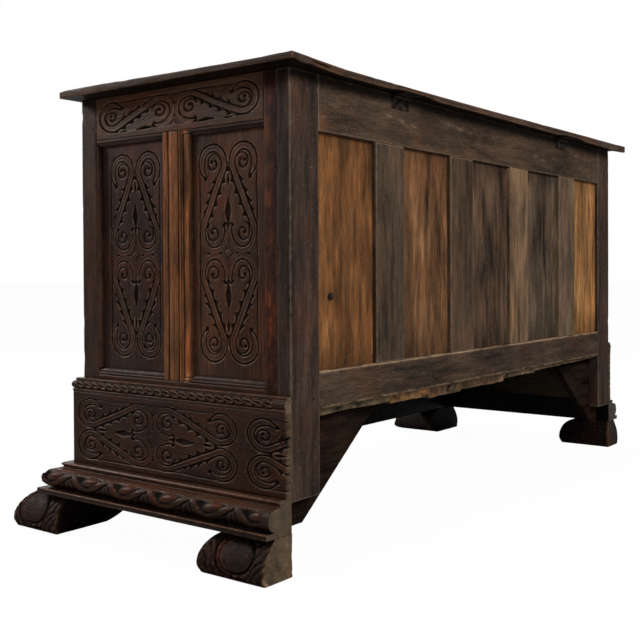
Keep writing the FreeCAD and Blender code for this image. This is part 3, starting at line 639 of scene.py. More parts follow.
def scroll(across, along):
    """The depth of the scroll at distances across from its axis and along from its clasp, read between the
    points of the drawing, with nothing cut beyond the drawing."""
    row = np.clip(np.abs(along) / drawing_pitch, 0, scroll_depths.shape[0] - 1.001)
    column = np.clip(np.abs(across) / drawing_pitch, 0, scroll_depths.shape[1] - 1.001)
    i, j = row.astype(int), column.astype(int)
    a, b = row - i, column - j
    low = scroll_depths[i, j] * (1 - b) + scroll_depths[i, j + 1] * b
    high = scroll_depths[i + 1, j] * (1 - b) + scroll_depths[i + 1, j + 1] * b
    return low * (1 - a) + high * a


def softened(values, times):
    """Each value becomes the mean of itself and its four neighbours, again and again."""
    for _ in range(times):
        padded = np.pad(values, 1, mode="edge")
        values = (padded[:-2, 1:-1] + padded[2:, 1:-1] + padded[1:-1, :-2] + padded[1:-1, 2:] + values) / 5
    return values


wear_reach, wear_high = 4.2 * mm, 1.4 * mm
dirt_from, dirt_high = 0.1 * mm, 1.3 * mm
deep_from, deep_high = 1.6 * mm, 3.0 * mm


def relief_marks(depth, pitch, floor=0.6):
    """How far each point stands above its surroundings, as wear, or below them, as a dirty hollow. Ground cut
    deep is dirty all over, up to the share given for it."""
    around = softened(depth, int((wear_reach / pitch) ** 2))
    worn = np.clip((depth - around) / wear_high, 0, 1)
    hollow = np.clip((around - depth - dirt_from) / dirt_high, 0, 1)
    hollow = np.maximum(hollow, np.clip((-deep_from - depth) / deep_high, 0, 1) * floor)
    return worn, hollow


turns = {"right": ((0, 1, 0), (1, 0, 0)), "left": ((0, -1, 0), (-1, 0, 0)), "front": ((1, 0, 0), (0, -1, 0))}
drift_size = 34 * mm
tool_size, tool_deep = 5 * mm, 0.35 * mm
sweep_size, sweep_high = 120 * mm, 0.4 * mm


def carved_board(side, face, pitch, cut, colour, seed, upright=True, arris=1.6 * mm, coloured=None, mitres=(0, 0),
                 drifting=1.1 * mm, floor=0.6, behind_shade=1.0):
    """A board with a carved face: a grid over its span and rise, each point set in by the depth cut there and
    rounded over at the edges. Its sides run back to a flat back, straight or at 45 degrees at a mitre. The back's
    tone is the face's times a factor, painted shade on the hidden back, except at an end without a mitre."""
    level, span, rise, thick = face
    along, out = (np.array(way, float) for way in turns[side])
    u = np.linspace(span[0], span[1], int((span[1] - span[0]) / pitch) + 1)
    v = np.linspace(rise[0], rise[1], int((rise[1] - rise[0]) / pitch) + 1)
    across, high = np.meshgrid(u, v)
    flat = across[..., None] * along + high[..., None] * (0, 0, 1.0)
    drift = [noise(flat, drift_size, seed + number) * drifting for number in (0, 1)]
    depth = cut(across + drift[0], high + drift[1])
    tooled = noise(flat, tool_size, seed + 2) * tool_deep * step(depth, -2 * mm, -4 * mm)
    edge = np.minimum(np.minimum(across - span[0], span[1] - across), np.minimum(high - rise[0], rise[1] - high))
    fallen = rounded_over(edge, arris)
    height = depth + tooled + noise(flat, sweep_size, seed + 3) * sweep_high - fallen
    front = flat + out * (level + height)[..., None]
    worn, hollow = relief_marks(depth - fallen, pitch, floor)
    rows, columns = across.shape
    index = np.arange(rows * columns).reshape(rows, columns)
    rim = np.concatenate([index[0, :-1], index[:-1, -1], index[-1, :0:-1], index[:0:-1, 0]])
    share = (across.ravel()[rim] - span[0]) / (span[1] - span[0])
    shift = thick * (mitres[0] * (1 - share) - mitres[1] * share)
    back = flat.reshape(-1, 3)[rim] + out * (level - thick) + shift[:, None] * along
    points = np.concatenate([front.reshape(-1, 3), back])
    behind = rows * columns + np.arange(len(rim))
    walls = np.stack([rim, behind, np.roll(behind, -1), np.roll(rim, -1)], 1)
    order = [high, across] if upright else [across, high]
    grain = np.stack(order + [height], -1) + own_place(seed)
    tone = np.broadcast_to(stain(*colour), front.shape).copy()
    if coloured is not None:
        tone *= coloured(across, high)
    grain, tone = grain.reshape(-1, 3), tone.reshape(-1, 3)
    bare = (share < 0.001) & (mitres[0] == 0) | (share > 0.999) & (mitres[1] == 0)
    shaded_back_tone = tone[rim] * np.where(bare, 1, behind_shade)[:, None]
    vectors = {"grain": np.concatenate([grain, grain[rim]]), "tone": np.concatenate([tone, shaded_back_tone])}
    marks = {"worn": worn.ravel(), "hollow": hollow.ravel()}
    marks = {name: np.concatenate([values, np.zeros(len(rim))]) for name, values in marks.items()}
    return {"points": points, "quads": np.concatenate([grid_quads(rows, columns), walls]),
            "caps": [behind[::-1].tolist()], "marks": marks, "vectors": vectors}


def facing(side, low, high):
    """A box as it lies on a face of the chest: the level of its outer side, its span from left to right as
    seen, its rise from foot to top and how thick it is."""
    along, out = (np.array(way, float) for way in turns[side])
    span, depth = (sorted([float(low @ way), float(high @ way)]) for way in (along, out))
    return depth[1], span, (low[2], high[2]), depth[1] - depth[0]


# The carved top rails. One board across the front and one across each end under the lid, tenoned into
# the posts. A pair of scrolls meets at the middle of each end; the front has three such pairs.
rail_brown = (100, 69, 49)
rail_walnut = walnut("rail_walnut", (128, 96, 70), streaks=0.26, dirt=1.0, gloss=0.46)
scroll_foot = 13 * mm
scroll_head = 14 * mm
scroll_gap = 6 * mm
end_rail_pitch = {"right": 1.3 * mm, "left": 2.1 * mm}
front_rail_pairs = 3
front_pitch = 2.4 * mm


def rail_scrolls(span, rise, pairs):
    """Pairs of scrolls along a rail: the distance to the middle of the nearest pair is the way along a scroll,
    the height above the rail's foot the way across, both scaled to fill the rail."""
    pair_long = (span[1] - span[0]) / pairs
    clear = rise[1] - rise[0] - scroll_foot - scroll_head

    def cut(u, v):
        along = np.abs((u - span[0]) % pair_long - pair_long / 2) * (scroll_long + scroll_gap) / (pair_long / 2)
        across = (v - rise[0] - scroll_foot) * scroll_wide / clear
        return np.where(across > 0, scroll(across, along), 0) * step(across, 0, 1.5 * mm)

    return cut


rails = [("carved_end_rail_" + side, "end_top_rail_" + side, side, 1, "front_post_" + side, "end_stile_" + side, 1,
          end_rail_pitch[side], 40) for side in sides]
rails.append(("carved_front_rail", "front_top_rail", "front", 0, "front_post_left", "front_post_right",
              front_rail_pairs, front_pitch, 47))
for name, node_name, side, axis, before, after, pairs, pitch, seed in rails:
    face = facing(side, *shown_box(node_name, axis, before, after))
    cut = rail_scrolls(face[1], face[2], pairs)
    part = carved_board(side, face, pitch, cut, rail_brown, seed, upright=False)
    put(name, part, rail_walnut, "carved_walnut", [node_name])

# The carved panels. Two in each end and five in the front, each a single walnut board that floats in
# the grooves of its frame. Two pairs of scrolls mirrored about the middle make the hearts. Those of the end
# panels stand a little above the middle.
panel_browns = {"front": (71, 49, 40), "back": (86, 58, 42)}
panel_walnut = walnut("panel_walnut", (150, 116, 90), streaks=0.24, dirt=1.0, gloss=0.45, wear=0.95, flushed=0.7)
end_panel_pitch = {"right": 1.4 * mm, "left": 2.2 * mm}
heart_long = 220 * mm
end_heart_wide, front_heart_wide = 77 * mm, 94 * mm
hearts_lifted = 4.5 * mm


def hearts(span, rise, half_wide, lifted):
    """Hearts on a panel: the distances from its lifted middle, each scaled to the size of one scroll."""
    def cut(u, v):
        across = np.abs(u - sum(span) / 2) * scroll_wide / half_wide
        along = np.abs(v - sum(rise) / 2 - lifted) * scroll_long / (heart_long + lifted)
        return scroll(across, along)
    return cut


panels = [(side, "end_panel_" + side + "_" + place, colour, end_panel_pitch[side], end_heart_wide, hearts_lifted,
           seed) for side in sides for (place, colour), seed in zip(panel_browns.items(), (50, 55))]
panels += [("front", "front_panel_" + str(number), panel_browns["back"], front_pitch, front_heart_wide, 0.0,
            60 + 4 * number) for number in range(1, 6)]
for side, name, colour, pitch, half_wide, lifted, seed in panels:
    face = facing(side, *corners(name))
    part = carved_board(side, face, pitch, hearts(face[1], face[2], half_wide, lifted), colour, seed)
    put("carved_" + name, part, panel_walnut, "carved_walnut", [name])

# The reeded muntins and the strips. The middle timber of each end carries two flat reeds and a mitred moulding
# along the panel behind it. Thinner strips line the tops and feet of both panels and the front edge of the front
# one. The lights are painted light and shade: how bright the wood is painted at places across the muntin, lighter
# on the edges that catch the light and darker in the grooves.
reed_orange = (146, 94, 58)
strip_brown = (74, 49, 36)
muntin_walnut = walnut("muntin_walnut", (176, 120, 74), streaks=0.5, dirt=1.0, gloss=0.42, wear=0.75, flushed=0.35)
reed_edges = (20.5 * mm, 37 * mm, 67.5 * mm, 100.5 * mm)
reed_lines = (28.5 * mm, 37 * mm, 52 * mm, 67.5 * mm)
reed_light_and_shade = ((20.5, 0.6), (24, 1.0), (33, 0.95), (36.5, 0.45), (38, 0.6), (41, 1.1), (52, 1.15), (64, 1.15),
               (66.5, 0.4), (69, 0.7), (71, 1.25), (78, 1.15), (80, 0.45), (82, 0.5), (84, 1.4), (91, 1.5),
               (94, 0.7), (96, 0.4), (100.5, 0.35))
reed_waver, reed_wave_turn = 1.5 * mm, 23
reed_crowns = ((28.7 * mm, 8.5 * mm), (52 * mm, 15 * mm))
crown_fall = 1.1 * mm
flat_fall = 0.4 * mm
faint_groove_share = 0.2
reed_groove = (1.1 * mm, 4.2 * mm)
quirk_in, second_quirk_share = 13 * mm, 0.5
quirk_share = 0.6
bead_wide, bead_high = 6.5 * mm, 0.6 * mm
strip_fall = 5.5 * mm
strip_wide = 13 * mm
strip_quirk_in, strip_quirk_share = 9 * mm, 0.4
bevel_wide = 15 * mm
upright_strip_wide = 9 * mm
mitre_back = 4 * mm
strip_face = 819.5 * mm
strip_thick = 10.5 * mm
strip_arris, strip_drift = 1.0 * mm, 0.3 * mm
muntin_thick = 12 * mm
front_groove_off = 7 * mm
front_muntin_lap = 3.5 * mm
front_muntin_pitch = 2.0 * mm
reed_pitch = {"right": 1.2 * mm, "left": 2.2 * mm}


def groove(distance):
    """A V cut by a parting tool at a distance from its line: half its width and its depth are the sizes."""
    half, deep = reed_groove
    return -deep * ridge(distance, half)


def strip_profile(inward, wide):
    """The fall of a moulded strip at a distance in from its outer edge: a bead, a quirk and a slope."""
    bead = bead_high * (1 - np.clip(inward / bead_wide * 2 - 1, -1, 1) ** 2)
    slope = -strip_fall * np.clip((inward - bead_wide) / (wide - bead_wide), 0, 1)
    return np.where(inward < bead_wide, bead, slope) + groove(inward - bead_wide) * quirk_share - bead_high


def end_piece(side, ends, rise, cut, colour, seed, level=strip_face, upright=True, thick=strip_thick,
              coloured=None):
    """A piece on an end of the chest, given by where it lies from front to back."""
    way = turns[side][0][1]
    span = sorted([ends[0] * way, ends[1] * way])
    toned = None if coloured is None else lambda u, v: coloured(u * way, v)
    return carved_board(side, (level, span, rise, thick), reed_pitch[side], lambda u, v: cut(u * way, v), colour,
                        seed, upright=upright, arris=strip_arris, drifting=strip_drift, coloured=toned, floor=0.0)


def painted_reed_shading(y, z):
    """Painted light and shade on the reeds: values set at places across the muntin and blended between them."""
    places, lights = np.array(reed_light_and_shade).T
    return np.interp(y + reed_waver * np.sin(z * reed_wave_turn), places * mm, lights)[..., None]


def reeds(low_z, high_z):
    """The muntin's face: two flats between grooves, then the moulding, mitred into the strips at both ends."""
    def cut(y, z):
        wide = reed_edges[3] - reed_edges[2]
        inward = np.minimum(wide, y - reed_edges[2])
        mitred = np.minimum(np.minimum(inward, z - low_z + mitre_back), high_z - z + mitre_back)
        flats = sum(groove(y - line) * (1 if line in reed_edges else faint_groove_share) for line in reed_lines)
        crown = np.minimum(*(((y - middle) / half) ** 2 for middle, half in reed_crowns))
        moulding = strip_profile(np.clip(mitred, 0, None), wide) + groove(mitred - quirk_in) * second_quirk_share
        return np.where(y < reed_edges[2], flats - flat_fall - crown_fall * crown,
                        moulding + groove(y - reed_edges[2]))
    return cut


def top_strip(high_z):
    """The strip under a top rail: the moulded profile with a second fine groove."""
    def cut(y, z):
        return strip_profile(high_z - z, strip_wide) + groove(high_z - z - strip_quirk_in) * strip_quirk_share
    return cut


def two_grooves(middle):
    """The face of a front muntin: a groove at each side of its middle."""
    def cut(u, v):
        return groove(u - middle + front_groove_off) + groove(u - middle - front_groove_off) - flat_fall
    return cut


for side in sides:
    low, high = corners("end_muntin_" + side)
    low_z, high_z = corners("end_low_rail_" + side)[1][2], corners("end_top_rail_" + side)[0][2]
    part = end_piece(side, (reed_edges[0], reed_edges[3]), (low_z, high_z), reeds(low_z, high_z), reed_orange, 80,
                     level=high[0] if side == "right" else -low[0], thick=muntin_thick, coloured=painted_reed_shading)
    put("reeded_muntin_" + side, part, muntin_walnut, "muntin_walnut", ["end_muntin_" + side])
    front_end = corners("front_post_" + side)[1][1]
    back_end = corners("end_stile_" + side)[0][1]
    top, foot = (high_z - strip_wide, high_z), (low_z, low_z + bevel_wide)
    parts = []
    for number, bay in enumerate([(front_end, reed_edges[0]), (reed_edges[3], back_end)]):
        parts.append(end_piece(side, bay, top, top_strip(high_z), strip_brown, 82 + number, upright=False))
        parts.append(end_piece(side, bay, foot, lambda y, z: strip_profile(z - low_z, bevel_wide), strip_brown,
                               85 + number, upright=False))
    parts.append(end_piece(side, (front_end, front_end + upright_strip_wide), (foot[1], top[0]),
                           lambda y, z: strip_profile(y - front_end, upright_strip_wide), strip_brown, 88))
    put("mitred_strips_" + side, joined(parts), end_walnut, "muntin_walnut", ["end_panel_strips_" + side])

rise = (corners("front_low_rail")[1][2], corners("front_top_rail")[0][2])
panel_boxes = [corners("front_panel_" + str(number)) for number in range(1, 6)]
parts = []
for number, ((_, left), (right, _)) in enumerate(zip(panel_boxes[:-1], panel_boxes[1:])):
    near, far = sorted([left[0], right[0]])
    face = (-corners("front_muntins")[0][1], (near + front_muntin_lap, far - front_muntin_lap), rise, muntin_thick)
    parts.append(carved_board("front", face, front_muntin_pitch, two_grooves((near + far) / 2), reed_orange,
                              90 + number, drifting=strip_drift))
put("reeded_front_muntins", joined(parts), muntin_walnut, "muntin_walnut", ["front_muntins"])

# The low rails and the hidden bearer. Plain sawn boards behind the plinth and under the bottom: the low
# rails of the front and ends, and the bearer that takes the front ends of the bottom boards.
low_rail_brown = (70, 46, 34)
end_bay = (1, "front_post_right", "end_stile_right")
sawn = [("front_low_rail", 0, shown_box("front_low_rail", 0, "front_post_left", "front_post_right"))]
sawn += [(name, 1, shown_box(name, *end_bay)) for name in ("end_low_rail_right", "end_low_rail_left")]
sawn += [("bottom_bearer", 0, corners("bottom_bearer"))]
for number, (name, along, box) in enumerate(sawn):
    finish, slot_name = (end_walnut, "frame_walnut") if "rail" in name else (back_walnut, "bottom_board_wood")
    put("sawn_" + name, plank(*box, along, low_rail_brown, 100 + 3 * number), finish, slot_name, [name])

# The frame of the back. A top rail, a low rail and four wide muntins, all plain and dark with dust and wax,
# lighter where the arrises are rubbed; the top rail carries painted shade under the lid, and the low rail's top
# arris is chipped, worn and painted pale as a highlight.
back_rail_brown = (72, 56, 43)
muntin_browns = [(80, 64, 50), (84, 66, 50), (132, 104, 78), (104, 85, 66)]
frame_timber = walnut("back_frame_timber", (128, 106, 84), streaks=0.42, dust=0.5, gloss=0.66, specular=0.18,
                      flushed=0.15)
scratch_gain, scratch_half, scratch_slope = 1.9, 1.5 * mm, 0.12
scratch_places = [(430 * mm, 905 * mm, 95 * mm), (150 * mm, 915 * mm, 130 * mm), (-280 * mm, 890 * mm, 70 * mm)]
orange_gain = (0.75, 0.35, 0.1)
wear_and_highlight_gain = 4.94
back_bay = (0, "back_stile_left", "back_stile_right")
housed = 8 * mm


def scratched(points):
    """Orange patches along the foot of the rail, and faint pale scratches: each is a bright line a millimetre or
    two wide that fades to both ends. The rail's top carries painted shade under the lid."""
    light = np.ones(points.shape[:-1])
    for x, z, long in scratch_places:
        away = points[..., 2] - z - scratch_slope * (points[..., 0] - x)
        fade = np.clip(1 - ((points[..., 0] - x) / long) ** 2, 0, 1)
        light += scratch_gain * ridge(away, scratch_half) * fade
    warm = step(noise(points * (0.5, 1.0, 1.0), 30 * mm, 8), -0.3, 0.8)
    warm = warm * step(points[..., 2], 905 * mm, 870 * mm) * step(points[..., 0], -100 * mm, 500 * mm)
    return light[..., None] * (1 + warm[..., None] * orange_gain) * shade_under_lid(points)


def pale_top(points):
    """The upper arris of the low rail: pale along its top few millimetres, broken into patches, partly wear and
    partly a painted highlight.
    """
    top = points[..., 2].max()
    patches = step(noise(points, 45 * mm, 7), -0.7, 0.2)
    return (1 + wear_and_highlight_gain * patches * step(points[..., 2], top - 5 * mm, top - 1 * mm))[..., None]


low, high = shown_box("back_top_rail", *back_bay)
part = plank(low, high, 0, back_rail_brown, 112, coloured=scratched, spread=7 * mm, pitch=5 * mm)
put("back_top_board", part, frame_timber, "back_frame_wood", ["back_top_rail"])
low, high = shown_box("back_low_rail", *back_bay)
part = plank(low, high, 0, back_rail_brown, 115, coloured=pale_top, chip=5 * mm, spread=7 * mm, pitch=4 * mm)
part["marks"]["worn"] *= step(high[0] - np.abs(part["points"][:, 0]), 3 * mm, 9 * mm)
# The low rail's rubbed colour is bright: partly wear, partly a painted highlight on its top arris.
worn_highlit_low_rail_timber = walnut("worn_highlit_low_rail_timber", (164, 138, 108), streaks=0.5, dust=0.5, gloss=0.66, wear=0.85,
                         specular=0.2, flushed=0.3)
put("back_low_board", part, worn_highlit_low_rail_timber, "back_frame_wood", ["back_low_rail"])
back_panels = [corners("back_panel_" + str(number)) for number in range(1, 6)]
low_z, high_z = corners("back_low_rail")[1][2], corners("back_top_rail")[0][2]
muntin_low, muntin_high = corners("back_muntins")
parts = []
for number, (near, far) in enumerate(zip(back_panels[:-1], back_panels[1:])):
    low = (far[1][0] - housed, muntin_low[1], low_z)
    high = (near[0][0] + housed, muntin_high[1], high_z)
    parts.append(plank(low, high, 2, muntin_browns[number], 120 + 2 * number, spread=8 * mm))
put("back_uprights", joined(parts), frame_timber, "back_frame_wood", ["back_muntins"])

# The back panels. Five plain boards of walnut set in the grooves of the back, each of its own colour; the
# first is streaked brown, the second has a redder edge, and the last is a wide board and a narrow one.
board_browns = [(120, 79, 44), (116, 81, 52), (90, 70, 54), (88, 73, 58), (160, 114, 68)]
board_timber = walnut("back_board_timber", (150, 118, 84), streaks=0.5, dust=0.6, gloss=0.7, specular=0.15,
                      flushed=0.15)
band_places = {1: (632 * mm, 34 * mm, 0.7), 2: (405 * mm, 30 * mm, 0.62), 4: (-330 * mm, 40 * mm, 0.8)}
narrow_board_wide = 62 * mm
board_gap = 1.2 * mm


knob_place = (682 * mm, 351.5 * mm, 526 * mm)
knob_smudge, smudge_dark, smudge_faint = 34 * mm, 0.45, 0.12
knob_radius, knob_out, knob_in = 7.5 * mm, 7 * mm, 1 * mm
knob_brown = (40, 27, 20)
panel_ends_share = 0.66
streaks_of_light = [(0.12, 0.3, 9 * mm, 130), (0.12, 0.2, 26 * mm, 140), (0.4, 0.2, 38 * mm, 150)]
band_wander, band_wander_size = 8 * mm, 160 * mm


def banded(number):
    """A panel's long streaks: a band of lighter or darker wood about a line, and narrow drips of stain."""
    def colour(points):
        light = 1
        for stretch, strength, size, seed in streaks_of_light:
            light = light + strength * noise(points * (1.0, 1.0, stretch), size, seed + number)
        middle = step(points[..., 2], 380 * mm, 470 * mm) * step(points[..., 2], 850 * mm, 800 * mm)
        light *= panel_ends_share + (1 - panel_ends_share) * middle
        if number in band_places:
            x, half, strength = band_places[number]
            wander = band_wander * noise(points * (0, 0, 1.0), band_wander_size, 5)
            share = np.exp(-(((points[..., 0] - x + wander) / half) ** 4))
            light = light * (1 + (strength - 1) * share)
        if number == 1:
            away = np.hypot(points[..., 0] - knob_place[0], points[..., 2] - knob_place[2]) / knob_smudge
            light = light * (1 - smudge_dark * ridge(away, 1) - smudge_faint * ridge(away, 3))
        return light[..., None]
    return colour


def turned(place, up, over, heights, radii, count, colour):
    """A body turned about a line through a place: at each height along its up direction lies a ring, which starts
    along X and turns towards the over direction."""
    turn = np.linspace(0, 2 * math.pi, count, endpoint=False)[:, None]
    ways = np.cos(turn) * (1.0, 0, 0) + np.sin(turn) * np.array(over, float)
    points = np.array(place) + heights[:, None, None] * np.array(up, float) + radii[:, None, None] * ways
    plain = np.zeros(points.shape[:2])
    return ring_body(points, plain, plain, points, np.broadcast_to(stain(*colour), points.shape))


def turned_knob():
    """A small knob on a panel: a neck and a dome on it, turned about a line that points out of the back."""
    share = np.linspace(0, 1, 14)
    away = np.interp(share, [0, 0.25, 0.5], [0.55, 0.6, 1.0]) * np.sqrt(np.clip(1 - share**6, 1e-4, 1))
    heights = -knob_in + (knob_out + knob_in) * share
    return turned(knob_place, (0, 1, 0), (0, 0, -1), heights, knob_radius * away, 28, knob_brown)


for number, (low, high) in enumerate(back_panels, start=1):
    spans = [(low[0], high[0])]
    if number == 5:
        spans = [(low[0], low[0] + narrow_board_wide), (low[0] + narrow_board_wide + board_gap, high[0])]
    parts = [plank((near, low[1], low[2]), (far, high[1], high[2]), 2, board_browns[number - 1], 150 + 3 * number,
                   spread=4 * mm, pitch=9 * mm, radius=1.5 * mm, coloured=banded(number)) for near, far in spans]
    if number == 1:
        parts.append(turned_knob())
    put("plain_back_board_" + str(number), joined(parts), board_timber, "back_board_wood",
        ["back_panel_" + str(number)])

# The bottom boards. Nine rough boards run from front to back and show their ends under the low back rail, pale and
# wavy along their lower edges, with a dark gap between each pair. Their tops under the rail and their undersides
# carry painted shade.
end_browns = [(92, 78, 60), (100, 84, 62), (138, 102, 64), (92, 74, 56), (98, 78, 58), (100, 82, 62), (88, 74, 58),
              (84, 70, 56), (84, 70, 56)]
bottom_timber = walnut("bottom_timber", (120, 94, 66), streaks=0.6, dust=0.4, gloss=0.7, specular=0.12)
bottom_shares = (0.0, 0.105, 0.196, 0.299, 0.396, 0.542, 0.663, 0.776, 0.886, 1.0)
lower_edges = [(698, 294), (482, 294), (320, 284), (165, 282), (-66, 290), (-257, 295), (-422, 298), (-727, 302)]
bottom_low, bottom_high = corners("bottom_boards")
edges = bottom_high[0] - (bottom_high[0] - bottom_low[0]) * np.array(bottom_shares)
stile_inner = corners("back_stile_right")[0][0]
stile_front = corners("back_stile_right")[0][1]
edge_wave_high, edge_wave_long = 1.3 * mm, 30 * mm
rail_shade_share, board_underside_shade = 0.12, 0.75


def uneven(points, ways):
    """A rough wave along the lower edges."""
    wave = noise(points * (1.0, 0.2, 0), edge_wave_long, 9)
    return edge_wave_high * wave * np.clip(-ways[..., 2], 0, 1)


def shaded_top(points):
    """Painted shade: the boards' ends are dark where they meet the rail above, and their undersides are dark."""
    under = step(points[..., 1], bottom_high[1] - 3 * mm, bottom_high[1] - 30 * mm)
    rough = 1 + 0.4 * noise(points, 7 * mm, 12) + 0.25 * noise(points, 28 * mm, 13)
    unshaded = step(points[..., 2], 306.5 * mm, 302 * mm) * (1 - board_underside_shade * under)
    return (rough * (rail_shade_share + (1 - rail_shade_share) * unshaded))[..., None]


heights = np.array(lower_edges[::-1]) * mm
parts = []
for number in range(9):
    near, far = edges[number] - board_gap, edges[number + 1] + board_gap
    pieces = [(max(far, -stile_inner), min(near, stile_inner), bottom_high[1])]
    if number in (0, 8):
        pieces.append((stile_inner, near, stile_front) if number == 0 else (far, -stile_inner, stile_front))
    for low_x, high_x, back in pieces:
        foot = np.interp((low_x + high_x) / 2, heights[:, 0], heights[:, 1])
        parts.append(plank((low_x, bottom_low[1], foot), (high_x, back, bottom_high[2]), 1, end_browns[number],
                           170 + 2 * number, waver=1.2 * mm, chip=2.5 * mm, spread=4 * mm, pitch=30 * mm,
                           radius=2 * mm, shaped=uneven, coloured=shaded_top))
put("rough_bottom_boards", joined(parts), bottom_timber, "bottom_board_wood", ["bottom_boards"])

# The lid. Three long boards with a cleat across each end. Their arrises are rubbed round and the underside carries
# painted shade; near the back corner the lid's edge has split, and the crack is painted dark as shade.
lid_brown = (64, 45, 34)
lid_walnut = walnut("lid_walnut", (136, 100, 72), streaks=0.3, gloss=0.4, dust=0.35)
lid_low, lid_high = corners("lid_boards")
cleat_low, cleat_high = corners("lid_cleats")
lid_joints = np.linspace(lid_low[1], lid_high[1], 4)
crack_from, crack_to = (738 * mm, 968 * mm), (803 * mm, 972 * mm)
crack_half, crack_deep, crack_shade = 1.9 * mm, 4 * mm, 0.95
lid_underside_shade = 0.86
lid_thick = 20 * mm
joint_half = 7 * mm
front_lowered = 2 * mm
edge_lifted = 3.6 * mm
back_gain, end_gain = (0.45, 0.75, 0.95), (0.65, 0.6, 0.5)
back_drooped = 4.4 * mm
back_lowered = [(-861, 5.5), (-560, 7), (-200, 9), (130, 11), (420, 11.5), (690, 10.5), (770, 7.5), (861, 3.5)]
end_lowered = [(-262, 0.5), (-120, 0.5), (80, 3.5), (300, 5), (402, 3.5)]
lid_hinge_places = 435 * mm


def crack_share(points):
    """How near a place is to the middle of the split: 1 on its line, less beside it, nothing past its ends."""
    share = (points[..., 0] - crack_from[0]) / (crack_to[0] - crack_from[0])
    line = crack_from[1] + (crack_to[1] - crack_from[1]) * share
    away = points[..., 2] - line - 0.8 * mm * noise(points * (1.0, 0, 0), 9 * mm, 3)
    held = step(share, 0, 0.2) * step(share, 1.05, 0.8) * (points[..., 1] > lid_high[1] - 5 * mm)
    return ridge(away, crack_half) * held


def cracked(points, ways):
    """The split in the lid's back edge is a cut a few millimetres deep."""
    return -crack_deep * crack_share(points) * (ways[..., 1] > 0.5)


def darkened(points):
    """Painted shade: the split is dark inside, and so is the underside of the lid. Its outer edges are rubbed
    lighter.
    """
    below = step(points[..., 2], lid_low[2] + 1.2 * mm, lid_low[2] + 0.3 * mm)
    back = step(points[..., 1], lid_high[1] - 4 * mm, lid_high[1] - 1 * mm)
    end = step(np.abs(points[..., 0]), cleat_high[0] - 4 * mm, cleat_high[0] - 1 * mm)
    edge = 1 + back[..., None] * back_gain + end[..., None] * end_gain
    return ((1 - crack_shade * crack_share(points)) * (1 - lid_underside_shade * below))[..., None] * edge


def warped(part):
    """The lid as it has worn and moved: its edges are thinner than its middle, its back edge hangs and sags
    along its length, and the near corner stands up again. Each point moves up or down by its share of the
    thickness between what the underside and the top do there. The split and the joints are left unworn."""
    points = part["points"]
    split = crack_share(points)
    joint = ridge(np.abs(points[:, 0]) - lid_high[0], joint_half)
    part["marks"]["worn"] = part["marks"]["worn"] * (1 - split) * (1 - joint)
    part["marks"]["hollow"] = np.maximum(part["marks"]["hollow"], split)
    x, y, z = points.T
    back, end = step(y, 366 * mm, 396 * mm), step(np.abs(x), 824 * mm, 850 * mm)
    front = step(y, -240 * mm, -258 * mm)
    sag, fall = np.array(back_lowered) * mm, np.array(end_lowered) * mm
    lowered = np.maximum(step(y, 230 * mm, 400 * mm) * np.interp(x, sag[:, 0], sag[:, 1]),
                         np.maximum(end * np.interp(y, fall[:, 0], fall[:, 1]), front_lowered * front))
    clear_of_hinge = step(np.abs(np.abs(x) - lid_hinge_places), 45 * mm, 110 * mm)
    droop = back * back_drooped * clear_of_hinge * step(x, 800 * mm, 700 * mm)
    lifted = np.maximum(end, front) * edge_lifted
    share = np.clip((z - lid_low[2]) / lid_thick, 0, 1)
    points[:, 2] = z + (lifted * (1 - droop / back_drooped) - droop) * (1 - share) - lowered * share
    return part


lid_edges = [(1.2 * mm, 14 * mm), (1.2 * mm, 14 * mm), (2.5 * mm, 1.5 * mm)]
parts = []
for number, (radius, spread) in enumerate(lid_edges):
    low = (lid_low[0], lid_joints[number] + board_gap / 4, lid_low[2])
    high = (lid_high[0], lid_joints[number + 1] - board_gap / 4, lid_high[2])
    parts.append(plank(low, high, 0, lid_brown, 190 + 3 * number, radius=radius, pitch=15 * mm, spread=spread,
                       shaped=cracked, coloured=darkened))
put("lid_planks", warped(joined(parts)), lid_walnut, "lid_walnut", ["lid_boards"], body="lid")
cleats = [plank((low_x, *cleat_low[1:]), (high_x, *cleat_high[1:]), 1, lid_brown, seed, radius=2 * mm,
                spread=2.2 * mm, pitch=8 * mm, shaped=cracked, coloured=darkened)
          for low_x, high_x, seed in ((lid_high[0], cleat_high[0], 200), (cleat_low[0], lid_low[0], 201))]
put("lid_end_cleats", warped(joined(cleats)), lid_walnut, "lid_walnut", ["lid_cleats"], body="lid")

# The carved plinth boards. A board at the front and at each end, mitred at the front corners, carved
# with the same hearts laid on their sides; they start at a clasp, run both ways and stop where the board does.
plinth_brown = (63, 38, 24)
plinth_walnut = walnut("plinth_walnut", (140, 104, 78), streaks=0.24, dirt=1.0, gloss=0.44)
heart_axis = 230 * mm
heart_half_wide = 66 * mm
clasp_place = 2 * mm
clasp_period = 252 * mm
clasp_gap = 8 * mm
bare_from, bare_full = 361.6 * mm, 362.2 * mm
plinth_pitch = {"right": 1.4 * mm, "left": 2.2 * mm, "front": 2.4 * mm}
plinth_reach = 17 * mm
end_grain_tan = (96, 84, 68)
hidden_shade = 0.05
chip_place, chip_size, chip_deep = (357 * mm, 257 * mm), (9 * mm, 12 * mm), 7 * mm
chip_rough, chip_turns = 0.5, (900, 700)


def chipped(u, v):
    """How far the broken chip reaches at a place on the right-hand board: 1 at its middle, 0 well beyond it."""
    away = ((u - chip_place[0]) / chip_size[0]) ** 2 + ((v - chip_place[1]) / chip_size[1]) ** 2
    return np.exp(-away * (1 + chip_rough * np.sin(u * chip_turns[0]) * np.sin(v * chip_turns[1])))


def bare_end(u, v):
    """Pale bare wood on the back end of a board and in its chip, as a factor on the board's own tone."""
    pale = stain(*end_grain_tan) / stain(*plinth_brown)
    share = np.maximum(step(np.abs(u), bare_from, bare_full), step(chipped(u, v) * (u > 0), 0.35, 0.6))
    return 1 + (pale - 1) * share[..., None]


